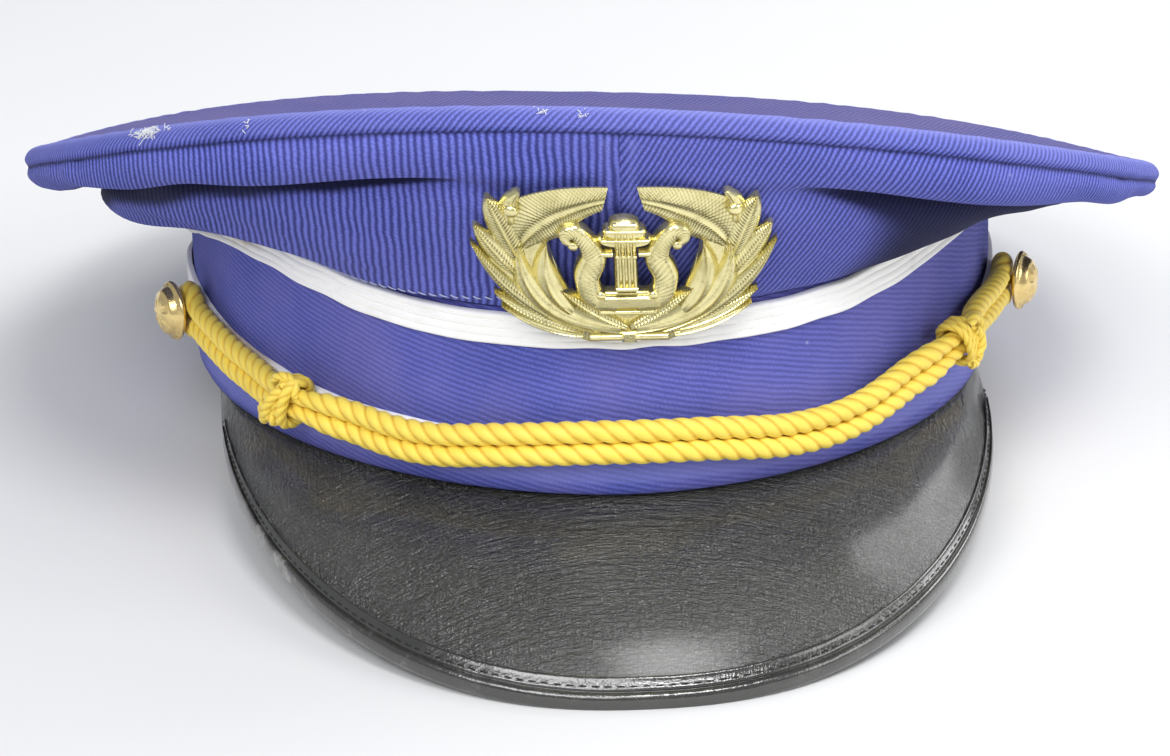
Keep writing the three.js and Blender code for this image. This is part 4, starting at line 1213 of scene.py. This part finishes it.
def cord_middle():
    """The middle of the cord's two strands, as distance round the band and height."""
    end = float(band_run(button_angle()))
    route = [(float(band_run(math.radians(angle))), height) for angle, height in CORD_ROUTE]
    return line_through([(-end, BUTTON.height), *route, (end, BUTTON.height)], 40)


def near_knot(run, spread):
    """1 at the slide knots and for a little way beside them, then falling off."""
    falls = [np.exp(-((run - band_run(math.radians(angle))) / spread) ** 4) for angle in KNOT_ANGLE.values()]
    return np.maximum(*falls)


def squeezed(run):
    """How far the knots draw the cord's strands together."""
    return 1 - CORD.knot_squeeze * near_knot(run, CORD.squeeze_spread)


def on_band(flat):
    """Points of the cord's route, lifted over the braid and at the knots."""
    run = flat[..., 0]
    off = OVER_BRAID + CORD.radius * squeezed(run) + CORD.knot_lift * near_knot(run, CORD.lift_spread)
    return band_point(run_angle(run), flat[..., 1], off)


def angle_at(points):
    """The band angle of points near the band's front half."""
    ahead = (BAND.widest_y - points[:, 1]) / (BAND.half_length + BAND.widest_y + CORD.radius)
    across = points[:, 0] / (BAND.half_width + CORD.radius)
    return np.arctan2(signed_power(across, BAND.power / 2), signed_power(ahead, BAND.power / 2))


# Loose turns of each slide knot, in millimetres along the cord, up across it and out from it.
BIGHTS = {
    "left": [
        {"radius": 1.15, "route": [(1.2, 3.6, 3.0), (-1.4, 0.4, 4.1), (-3.8, -3.2, 3.6), (-5.8, -4.3, 2.4),
                                   (-6.4, -2.6, 2.2), (-4.6, -1.2, 3.0), (-2.6, -2.6, 3.4),
                                   (-2.4, -4.9, 2.0)]},
        {"radius": 0.95, "route": [(-3.6, 3.4, 1.6), (-1.6, 4.9, 2.0), (1.2, 5.4, 1.4), (3.2, 4.2, 1.2),
                                   (3.6, 1.8, 1.6)]},
    ],
    "right": [
        {"radius": 1.15, "route": [(-0.6, 3.8, 2.6), (2.2, 4.6, 2.6), (4.6, 2.8, 2.6), (5.2, -0.4, 2.4),
                                   (4.4, -3.4, 2.4), (1.8, -4.8, 2.4), (-0.4, -4.2, 2.6)]},
        {"radius": 1.0, "route": [(0.6, 3.0, 3.6), (2.4, 1.2, 3.8), (2.6, -1.4, 3.8), (1.2, -3.2, 3.4)]},
    ],
}


class CAP_OT_chin_cord(bpy.types.Operator):
    """Make the twisted chin cord, one closed loop, and its two slide knots."""

    bl_idname = "cap.chin_cord"
    bl_label = "Chin cord"
    thick, shank_turn = 2.2, [84, 42, 0, -42, -84]
    cord_step, wrap_step, bight_step = 0.55, 0.45, 0.4
    wraps = {"left": (24.0, 20.0), "right": (-26.0, -20.0, -15.0)}
    wrap = Sizes(corners=16, power=0.75, total=2.3, extra=0.05, lead_share=0.6, sides=24)
    bight_ends = (0.6, 0.9)

    def execute(self, context):
        sizes = context.scene.cap_trim
        finish = gold_rayon("gold_rayon", sizes)
        self.loop(finish, sizes.lead)
        for side, angle in KNOT_ANGLE.items():
            self.knot(side, math.radians(angle), finish, sizes.lead)
        return {"FINISHED"}

    def loop(self, finish, lead):
        """Along the upper strand, round a button's shank and back along the lower strand."""
        middle = cord_middle()
        turn_radius = BUTTON.shank + GAP + CORD.radius
        spots, places = evenly(middle, CORD.step)
        tangent = unit(np.gradient(spots, axis=0))
        keep = (places > 2 * turn_radius) & (places < places[-1] - 2 * turn_radius)
        apart = (CORD.apart * squeezed(spots[:, 0]))[:, None]
        side = np.stack([-tangent[:, 1], tangent[:, 0]], axis=1) * apart

        def turn(end, along, back):
            heading = math.atan2(along[1], along[0]) + (math.pi if back else 0)
            bearing = heading + np.radians(self.shank_turn)
            return end + turn_radius * np.stack([np.cos(bearing), np.sin(bearing)], axis=1)

        route = np.concatenate([(spots + side)[keep], turn(spots[-1], tangent[-1], False),
                                (spots - side)[keep][::-1], turn(spots[0], tangent[0], True)])
        path, _ = evenly(loop_through(on_band(route), 12), self.cord_step)
        path = path[:-1]
        angle = angle_at(path)
        thick = self.thick * squeezed(band_run(angle))[:, None]
        rings, lay = rope_rings(path, band_outward(angle), thick, lead)
        build = Build()
        build.rings(rings, lay, closed=True)
        build.object("gold_chin_cord", [finish], "gold_cord", "chin_cord")

    def knot(self, side, angle, finish, lead):
        """Leaning turns round both strands, with the loose turns of the knot laid over them."""
        middle = cord_middle()
        place = int(np.argmin(np.abs(middle[:, 0] - band_run(angle))))
        step = middle[place + 1] - middle[place - 1]
        step = step / np.linalg.norm(step)
        centre = on_band(middle[place])
        along = unit(on_band(middle[place] + step) - centre)
        up = unit(np.cross(band_outward(np.array(angle)), along))
        out = np.cross(along, up)
        squeeze = squeezed(middle[place, 0])
        wide = (CORD.apart + CORD.radius) * squeeze + KNOT.play + KNOT.radius
        thick = CORD.radius * squeeze + KNOT.play + KNOT.radius
        wrap, leans = self.wrap, self.wraps[side]
        turn = np.linspace(0, 2 * np.pi, wrap.corners, endpoint=False)
        twist = lead * wrap.lead_share
        build = Build()
        for number, lean in enumerate(leans):
            rise = signed_power(np.cos(turn), wrap.power) * wide
            proud = signed_power(np.sin(turn), wrap.power) * thick
            shift = (number - (len(leans) - 1) / 2) * KNOT.pitch * 2 / len(leans)
            shift = shift + rise * math.tan(math.radians(lean))
            ring = centre + up * rise[:, None] + out * proud[:, None] + along * shift[:, None]
            path, _ = evenly(loop_through(ring, 8), self.wrap_step)
            path = path[:-1]
            radius = wrap.total / len(leans) + wrap.extra
            rings, lay = rope_rings(path, unit(path - centre), radius, twist, wrap.sides)
            build.rings(rings, lay, closed=True)
        for bight in BIGHTS[side]:
            points = [centre + along * x + up * y + out * z for x, y, z in bight["route"]]
            path, _ = evenly(line_through(points, 10), self.bight_step)
            outward = np.broadcast_to(out, path.shape)
            rings, lay = rope_rings(path, outward, bight["radius"], twist, wrap.sides, closed=False)
            shrink = np.ones(len(path))
            shrink[:2], shrink[-2:] = self.bight_ends, self.bight_ends[::-1]
            build.rings(path[:, None] + (rings - path[:, None]) * shrink[:, None, None], lay)
        build.object(f"gold_knot_{side}", [finish], "gold_cord", f"cord_knot_{side}")


class CAP_OT_buttons(bpy.types.Operator):
    """Make the two domed buttons at the ends of the chin cord."""

    bl_idname = "cap.buttons"
    bl_label = "Buttons"
    sides, petals, teeth, sharp, stained = 96, 8, 40, 70, 0.7
    rope = Sizes(high=0.14, slant=3, rims_in=0.7, width=0.45)
    petal = Sizes(high=0.28, cut=0.25, at=2.5, width=1.1)
    bead = Sizes(swell=0.3, high=0.5, width=0.75)
    ringlet = Sizes(swell=0.22, high=0.6, at=4.3, width=0.25)
    recess = Sizes(base=0.6, rate=2.2, at=2.4, width=2.2)

    def execute(self, context):
        sizes = context.scene.cap_brass
        brass = stamped_brass("button_brass", sizes, sizes.button, sizes.button_dull)
        for side, sign in (("left", -1), ("right", 1)):
            self.button(side, sign * button_angle(), sign, brass)
        return {"FINISHED"}

    def button(self, side, angle, sign, brass):
        """A shank, a turned rim and a dome with a small rosette."""
        radius, shank, back, rim = BUTTON.radius, BUTTON.shank, BUTTON.back, BUTTON.rim
        profile = [(0.05, 0), (shank, 0), (shank, back - 0.2), (shank + 0.8, back + 0.05),
                   (radius - rim, back), (radius - 0.1, back + 0.35), (radius, back + rim),
                   (radius - 0.15, back + 1.5 * rim),
                   (radius - 0.5, back + 1.85 * rim), (radius - 0.8, back + 2.1 * rim),
                   (radius * 0.72, BUTTON.face - 1.3), (radius * 0.48, BUTTON.face - 0.5),
                   (radius * 0.22, BUTTON.face - 0.08), (0.02, BUTTON.face)]
        line = line_through(profile, 6)
        turn = np.linspace(0, 2 * np.pi, self.sides, endpoint=False)[:, None]
        out, high = line[None, :, 0], line[None, :, 1]
        face = smoothstep(high, back + 1.0, back + 1.4) * np.ones_like(turn)
        at_rim = bell(out - radius + rim * self.rope.rims_in, self.rope.width)
        rope = self.rope.high * np.cos(self.teeth * turn + out * self.rope.slant) * at_rim * face
        petal = np.clip(np.cos(self.petals * turn / 2) ** 2 - self.petal.cut, 0, 1)
        petal = petal * bell(out - self.petal.at, self.petal.width)
        bead = self.bead.swell * bell(out, self.bead.width)
        ringlet = self.ringlet.swell * bell(out - self.ringlet.at, self.ringlet.width)
        raised = (self.petal.high * petal + self.bead.high * bead + self.ringlet.high * ringlet) * face
        recess = np.clip(self.recess.base - self.recess.rate * (petal + bead * 2 + ringlet * 3), 0, 1) * face
        recess = recess * bell(out - self.recess.at, self.recess.width)
        before, after = band_point(angle + np.radians([-0.5, 0.5]), 0.0)
        axis = unit(np.array([after[1] - before[1], before[0] - after[0], 0.0]))
        axis = np.array(Matrix.Rotation(-sign * math.radians(BUTTON.lean), 3, "Z") @ Vector(axis))
        level = unit(np.cross(np.array([0, 0, 1.0]), axis))
        upright = np.cross(axis, level)
        seat = band_point(np.array(angle), BUTTON.height, OVER_BRAID)
        spin = level * np.cos(turn)[..., None] + upright * np.sin(turn)[..., None]
        grid = seat + spin * out[..., None] + axis * (high + rope + raised)[..., None]
        lay = points_of(turn * out, np.broadcast_to(high, grid.shape[:2]), recess * self.stained)
        build = Build()
        build.grid(grid, lay)
        build.object(f"brass_button_{side}", [brass], "brass", f"button_{side}", self.sharp)


class CAP_OT_badge(bpy.types.Operator):
    """Make the pierced badge: a lyre in a wreath of two branches."""

    bl_idname = "cap.badge"
    bl_label = "Badge"
    rib_pitch, rib_height, sharp, ground_high = 0.74, 0.16, 50, 0.75
    ground = [(-0.7, 5), (-8.3, 10.6), (-12.3, 14.2), (-13.4, 20), (-15, 26), (-15.5, 30), (-19.5, 33),
              (-23.5, 31), (-26, 24), (-26.3, 16.5), (-22.3, 9.6), (-15, 4.7), (-0.7, 1.5)]
    broad_from, ribbed_from, fine_steps, coarse_steps = 0.6, 0.4, 150, 70
    narrow = Sizes(rib_off=0.0, lift=1.0, midrib=0.3, skew=0.0)
    broad = Sizes(rib_off=0.22, lift=0.65, midrib=0.5, skew=1.2)
    broad_widths = ([0, 0.2, 0.45, 0.75, 1], [0.35, 0.85, 1.08, 0.8, 0.5])
    arm_widths = ([0, 0.15, 0.32, 0.48, 0.62, 0.78, 0.9, 1.0], [1.6, 2.4, 2.7, 2.0, 1.9, 1.5, 0.9, 0.7])
    hatch = Sizes(high=0.1, slant=1.2, pitch=0.75, start=(0.12, 0.2), end=(0.85, 0.7))
    berry = Sizes(spot=(-21.4, 33.6), radius=1.5, high=2.5)
    scroll = Sizes(spot=(-10.0, 26.3), radius=1.0, high=1.7)

    def execute(self, context):
        sizes = context.scene.cap_brass
        brass = stamped_brass("badge_brass", sizes, sizes.brass, sizes.brass_dull)
        self.build = Build()
        *leaves, curled = LEAVES
        for mirror in (1, -1):
            self.plate([(x * mirror, y) for x, y in self.ground[::mirror]], 0.0, self.ground_high)
            for leaf in leaves:
                self.leaf(leaf, mirror)
            self.arm(mirror)
            self.bead(self.scroll, mirror, BADGE.plate)
            self.bead(self.berry, mirror, 0)
            self.leaf(curled, mirror)
        self.middle()
        self.build.object("lyre_badge", [brass], "brass", "badge", self.sharp)
        return {"FINISHED"}

    def stand(self, flat):
        """Badge points to the cap: scaled, skewed, bent round the crown's front and leaned forward."""
        x, y, z = flat[..., 0] * BADGE.across_scale, flat[..., 1] * BADGE.up_scale, flat[..., 2]
        x = x + BADGE.sideways * y
        y = y + BADGE.slope * x
        z = z - x ** 2 / (2 * BADGE.bend_radius)
        turn = math.pi / 2 + math.radians(BADGE.lean)
        return points_of(x - BADGE.left,
                         y * math.cos(turn) - z * math.sin(turn) - BAND.half_length - BADGE.foot_off,
                         y * math.sin(turn) + z * math.cos(turn) + BADGE.foot_height)

    def strip(self, line, half, face, recess, mirror, skew=0.0):
        """A raised strip along a line: face and recess are grids over the strip, across from -1 to 1."""
        tangent = unit(np.gradient(line, axis=0))
        side = np.stack([-tangent[:, 1], tangent[:, 0]], axis=1)
        across = np.linspace(-1, 1, face.shape[1])
        flat = line[:, None] + side[:, None] * (half * across[None])[..., None]
        late = smoothstep(np.linspace(0, 1, len(line)), 0.55, 1.0)
        flat = flat + tangent[:, None] * (skew * late[:, None] * across[None])[..., None]
        x = flat[..., 0] * mirror
        outer = points_of(x, flat[..., 1], face)
        inner = points_of(x, flat[..., 1], 0.0)
        # Painted shade: faces of the badge turned down take more of the recess brown; painted light: faces
        # turned up take less.
        facing = unit(np.cross(np.gradient(outer, axis=0), np.gradient(outer, axis=1)))
        upward = facing[..., 1] * np.sign(facing[..., 2])
        recess = np.clip(recess + 0.6 * np.maximum(-upward, 0) - 0.3 * np.maximum(upward, 0), 0, 1)
        lay = points_of(x, flat[..., 1], recess)
        if mirror > 0:
            outer, inner, lay = outer[:, ::-1], inner[:, ::-1], lay[:, ::-1]
        self.build.shell(self.stand(outer), self.stand(inner), lay)

    def leaf(self, leaf, mirror):
        """One leaf: vaulted halves, a raised midrib and slanted ribs on both sides of it."""
        root, bend, tip = (np.array(leaf[name], dtype=float) for name in ("root", "bend", "tip"))
        broad = leaf["blunt"] > self.broad_from
        kind = self.broad if broad else self.narrow
        steps = self.fine_steps if leaf["ribs"] > self.ribbed_from else self.coarse_steps
        share = np.linspace(0, 1, steps)[:, None]
        line = (1 - share) ** 2 * root + 2 * share * (1 - share) * bend + share ** 2 * tip
        run = lengths_along(line)[:, None]
        across = np.linspace(-1, 1, 17)[None]
        from_rib = across + kind.rib_off
        vault = 1 - np.abs(across) ** 2.2
        if broad:
            width = np.interp(share, *self.broad_widths)
            lobe = np.sin(np.pi * np.clip(np.abs(from_rib) / (1 + kind.rib_off), 0, 1)) ** 0.8
            full = (0.6 * vault + 0.4 * lobe) * (0.35 + 0.65 * smoothstep(share, 1.0, 0.7))
        else:
            swell = np.sin(np.pi * np.minimum(0.16 + 0.84 * share, 1)) ** 0.75
            rounded = np.sqrt(np.clip(1 - ((share - 0.55) / 0.45) ** 6, 0, 1))
            width = np.maximum(swell, np.where(share > 0.5, leaf["blunt"] * (2 - share) * rounded, 0.25))
            full = vault
        half = leaf["half"] * width
        phase = (run - np.abs(from_rib) * half * 0.7) / self.rib_pitch
        ribs = np.cos(2 * np.pi * phase)
        fade = smoothstep(np.abs(from_rib), 0.06, 0.2) * smoothstep(share, 0.02, 0.1) * leaf["ribs"]
        midrib = bell(from_rib, 0.08) * (1 - 0.6 * share)
        valley = bell(np.abs(from_rib) - 0.2, 0.13)
        face = (0.35 + (leaf["lift"] * kind.lift + 0.25) * full + kind.midrib * midrib - 0.16 * valley
                + self.rib_height * ribs * fade * (0.5 + 0.5 * vault))
        recess = np.clip(0.5 - 0.5 * ribs, 0, 1) * fade * 0.8 + 0.45 * valley
        recess = recess + 0.5 * smoothstep(share, 0.15, 0)
        self.strip(line, half, face, np.clip(recess, 0, 1) * np.ones_like(face), mirror, kind.skew)

    def arm(self, mirror):
        """One arm of the lyre, wide and nearly flat, ending in a scroll."""
        line = line_through(LYRE_ARM, 14)
        share = np.linspace(0, 1, len(line))[:, None]
        across = np.linspace(-1, 1, 15)[None]
        half = np.interp(share, *self.arm_widths)
        round_top = np.clip(1 - np.abs(across) ** 3, 0, 1) ** 0.5
        run = lengths_along(line)[:, None]
        hatch = np.cos(2 * np.pi * (run + across * self.hatch.slant) / self.hatch.pitch)
        hatch = self.hatch.high * hatch * smoothstep(share, *self.hatch.start)
        hatch = hatch * smoothstep(share, *self.hatch.end) * round_top
        rib = 0.16 * bell(np.abs(across) - 0.72, 0.12)
        face = BADGE.plate + 0.2 + 1.25 * round_top + hatch + rib
        recess = np.clip(0.3 - 3 * hatch, 0, 0.6) * 0.6 * np.ones_like(face)
        self.strip(line, half, face, recess + 0.35 * bell(np.abs(across) - 0.55, 0.1), mirror)

    def bead(self, bead, mirror, base):
        """The berry between the top leaves, or the middle of an arm's scroll."""
        x, y = bead.spot
        self.dome((x * mirror, y), bead.radius, base + bead.high)

    def dome(self, spot, radius, high):
        """A bead of metal at a spot of the badge."""
        turn = np.linspace(0, 2 * np.pi, 20, endpoint=False)[:, None]
        fall = np.linspace(0, math.pi / 2, 7)[None]
        x = spot[0] + radius * np.cos(turn) * np.cos(fall)
        y = spot[1] + radius * np.sin(turn) * np.cos(fall)
        z = (high - radius * 0.7) * np.ones_like(x) + radius * 0.7 * np.sin(fall)
        grid = points_of(x, y, z)
        skirt = points_of(grid[:, :1, 0], grid[:, :1, 1], 0.2)
        grid = np.concatenate([skirt, grid], axis=1)
        self.build.grid(self.stand(grid))

    def plate(self, corners, low, high, bevel=0.3):
        """A raised flat shape with sloped sides."""
        corners = np.asarray(corners, dtype=float)
        middle = corners.mean(axis=0)
        reach = np.abs(corners - middle).max(axis=0)
        inset = middle + (corners - middle) * (1 - bevel / reach)
        rings = np.stack([points_of(corners[:, 0], corners[:, 1], low),
                          points_of(corners[:, 0], corners[:, 1], high - bevel),
                          points_of(inset[:, 0], inset[:, 1], high)])
        self.build.rings(self.stand(rings)[:, ::-1])

    def bar(self, start, end, half, high):
        """A straight rounded bar of the badge."""
        line = line_through([start, end], 14)
        across = np.linspace(-1, 1, 9)[None]
        face = high - 0.5 + 0.5 * np.sqrt(np.clip(1 - across ** 2, 0, 1)) * np.ones((len(line), 1))
        self.strip(line, np.full((len(line), 1), half), face, 0.25 * np.abs(across) * np.ones_like(face), 1)

    def middle(self):
        """The lyre's crest, strings, crossbar and foot, and the tie of the two branches."""
        base = BADGE.plate
        self.plate([(-11, 1.4), (-8, 0), (8, 0), (11, 1.4), (7, 9), (-7, 9)], 0.0, base + 0.3)
        self.plate([(-8.6, 11.4), (-5, 7.7), (5, 7.7), (8.6, 11.4), (5, 14), (-5, 14)], 0.0, base + 0.8)
        self.plate([(-6.8, 10.2), (6.8, 10.2), (5.8, 13.3), (-5.8, 13.3)], base, base + 1.6, 0.5)
        self.bar((-5.4, 8.9), (5.4, 8.9), 0.55, base + 1.5)
        self.plate([(-2.3, 13), (2.3, 13), (2.3, 26), (-2.3, 26)], 0.0, base + 0.3)
        turn = np.linspace(0, 2 * np.pi, 28, endpoint=False)
        for half, rise, y, high in ((5.3, 2.0, 27.2, 0.7), (4.2, 1.8, 29.6, 1.1), (2.9, 1.5, 31.6, 1.5)):
            oval = np.stack([half * np.cos(turn), y + rise * np.sin(turn)], axis=1)
            self.plate(oval, 0.0, base + high, 0.6)
        for half, y in ((4.6, 28.0), (3.5, 30.4), (2.1, 32.2)):
            self.bar((-half, y), (half, y), 0.4, base + 1.7)
        for x in (-1.65, -0.55, 0.55, 1.65):
            self.bar((x, 15.2), (x, 31.2), 0.34, base + 1.45)
            self.dome((x, 24.5), 0.46, base + 2.3)
        for mirror in (-1, 1):
            self.bar((2.5 * mirror, 24.5), (4.7 * mirror, 24.5), 0.5, base + 1.7)
            self.dome((5.1 * mirror, 13.7), 1.0, base + 2.0)
            self.bar((7.6 * mirror, 2.5), (1.2 * mirror, 2.7), 0.7, base + 2.1)
        self.bar((-2.1, 15.3), (2.1, 15.3), 0.5, base + 1.7)
        self.plate([(-1.5, 1.5), (1.5, 1.5), (1.5, 4.5), (-1.5, 4.5)], 0.0, base + 2.3, 0.5)


class CAP_OT_lint(bpy.types.Operator):
    """Scatter a few tufts of pale lint over the rim."""

    bl_idname = "cap.lint"
    bl_label = "Lint"
    fibre, lie, arch, upright = 0.08, 0.12, 0.3, 0.8
    scatter, stations = 0.35, (0.4, 2.9)

    def execute(self, context):
        rng = np.random.default_rng(SEED + 11)
        build = Build()
        edge = np.array(TOP_EDGE_LINE, dtype=float)
        for tuft in LINT:
            count = tuft["count"]
            angle = np.radians(tuft["angle"] + tuft["spread"] * rng.normal(size=count))
            station = np.clip(tuft["station"] + self.scatter * rng.normal(size=count), *self.stations)
            out, rise = (np.interp(station, np.arange(len(edge)), edge[:, part]) for part in (0, 1))
            level = points_of(np.sin(angle), -np.cos(angle), 0)
            lift = unit(level + np.array([0, 0, self.upright]))
            spot = rim_point(angle) + level * out[:, None] + points_of(0 * rise, 0, rise) + lift * self.lie
            reach = rng.normal(size=(count, 3)) * tuft["length"]
            reach = reach - lift * (reach * lift).sum(axis=-1, keepdims=True)
            add_stitches(build, spot - reach / 2, spot + reach / 2, lift, self.fibre, self.arch)
        build.object("rim_lint", [plain_thread("lint_fibre", context.scene.cap_cloth.lint)], "cloth")
        return {"FINISHED"}


class CAP_OT_stage(bpy.types.Operator):
    """Set up the pale floor, the soft lights and the camera."""

    bl_idname = "cap.stage"
    bl_label = "Stage"
    floor_half = 4.0
    aim, sky, sky_light = (0.0, 0.0, 0.05), (0.9, 0.93, 1.0, 1.0), 0.46

    def execute(self, context):
        sizes = context.scene.cap_stage
        self.floor(sizes.floor)
        for name, light in LIGHTS.items():
            self.light(f"{name}_light", light["spot"], light["size"], getattr(sizes, name))
        world = bpy.data.worlds.new("studio")
        world.use_nodes = True
        background = world.node_tree.nodes["Background"].inputs
        background["Color"].default_value = self.sky
        background["Strength"].default_value = self.sky_light
        context.scene.world = world
        context.scene.view_settings.view_transform = "Standard"
        self.camera(context.scene)
        return {"FINISHED"}

    def floor(self, tone):
        """A wide floor that curves up far behind the cap."""
        half = self.floor_half
        bend = [(half * 0.5, 0.0), (half * 0.65, 0.03), (half * 0.8, 0.2), (half, 1.2), (half * 1.05, 3.0)]
        profile = [(-half, 0.0), *line_through(bend, 8)]
        corners = [(side * half, y, z) for y, z in profile for side in (-1, 1)]
        faces = [(2 * i, 2 * i + 1, 2 * i + 3, 2 * i + 2) for i in range(len(profile) - 1)]
        mesh = bpy.data.meshes.new("studio_floor")
        mesh.from_pydata(corners, [], faces)
        mesh.materials.append(studio_floor("floor_paper", tone))
        made = bpy.data.objects.new("studio_floor", mesh)
        bpy.context.scene.collection.objects.link(made)

    def light(self, name, spot, size, power):
        """A soft rectangular light aimed at the cap."""
        data = bpy.data.lights.new(name, "AREA")
        data.shape, data.size, data.size_y, data.energy = "RECTANGLE", size[0], size[1], power
        made = bpy.data.objects.new(name, data)
        made.location = spot
        made.rotation_mode = "QUATERNION"
        made.rotation_quaternion = (Vector(self.aim) - Vector(spot)).to_track_quat("-Z", "Y")
        bpy.context.scene.collection.objects.link(made)

    def camera(self, scene):
        """The camera at the photograph's viewing angle."""
        def turn(degrees, axis):
            return Matrix.Rotation(math.radians(degrees), 3, axis)

        pan = math.degrees(math.atan((VIEW.aim_x - PICTURE.width / 2) / VIEW.focal))
        dip = math.degrees(math.atan((VIEW.aim_y - PICTURE.height / 2) / VIEW.focal))
        level = turn(VIEW.rise, "X") @ turn(VIEW.yaw, "Z")
        rows = turn(VIEW.roll, "Y") @ turn(-dip, "X") @ turn(-pan, "Z") @ level
        spot = level.transposed() @ Vector((0, -VIEW.distance, 0))
        tip = Matrix.Rotation(-TILT, 3, "X")
        axes = tip @ Matrix((rows[0], rows[2], -rows[1])).transposed()
        data = bpy.data.cameras.new("camera")
        data.sensor_fit, data.sensor_width = "HORIZONTAL", VIEW.sensor
        data.lens = VIEW.sensor * VIEW.focal / PICTURE.width
        data.clip_start, data.clip_end = 0.01, 20
        made = bpy.data.objects.new("camera", data)
        made.matrix_world = Matrix.Translation((tip @ spot + Vector(SHIFT)) / 1000) @ axes.to_4x4()
        scene.collection.objects.link(made)
        scene.camera = made


class CAP_PT_dressing(bpy.types.Panel):
    """Lists the cap's settings and pieces."""

    bl_idname = "CAP_PT_dressing"
    bl_label = "Peaked Cap"
    bl_space_type = "VIEW_3D"
    bl_region_type = "UI"
    bl_category = "Cap"

    def draw(self, context):
        for group in SETTINGS:
            box = self.layout.box()
            settings = getattr(context.scene, group)
            for name in settings.bl_rna.properties.keys():
                if name not in ("rna_type", "name"):
                    box.prop(settings, name)
        for operator in OPERATORS:
            self.layout.operator(operator.bl_idname)


SETTINGS = {"cap_cloth": ClothSettings, "cap_trim": TrimSettings, "cap_vinyl": VinylSettings,
            "cap_brass": BrassSettings, "cap_stage": StageSettings}
OPERATORS = [CAP_OT_stage, CAP_OT_crown, CAP_OT_band, CAP_OT_braids, CAP_OT_peak, CAP_OT_chin_cord,
             CAP_OT_buttons, CAP_OT_badge, CAP_OT_lint]
CLASSES = [*SETTINGS.values(), *OPERATORS, CAP_PT_dressing]


def register():
    """Adds the settings, operators and panel."""
    for made in CLASSES:
        bpy.utils.register_class(made)
    for name, group in SETTINGS.items():
        setattr(bpy.types.Scene, name, bpy.props.PointerProperty(type=group))


def unregister():
    """Takes them away again."""
    for name in SETTINGS:
        delattr(bpy.types.Scene, name)
    for made in reversed(CLASSES):
        bpy.utils.unregister_class(made)


def main():
    """Makes every piece in order."""
    register()
    for operator in OPERATORS:
        group, name = operator.bl_idname.split(".")
        getattr(getattr(bpy.ops, group), name)()
    bpy.context.view_layer.update()


if __name__ == "__main__":
    main()
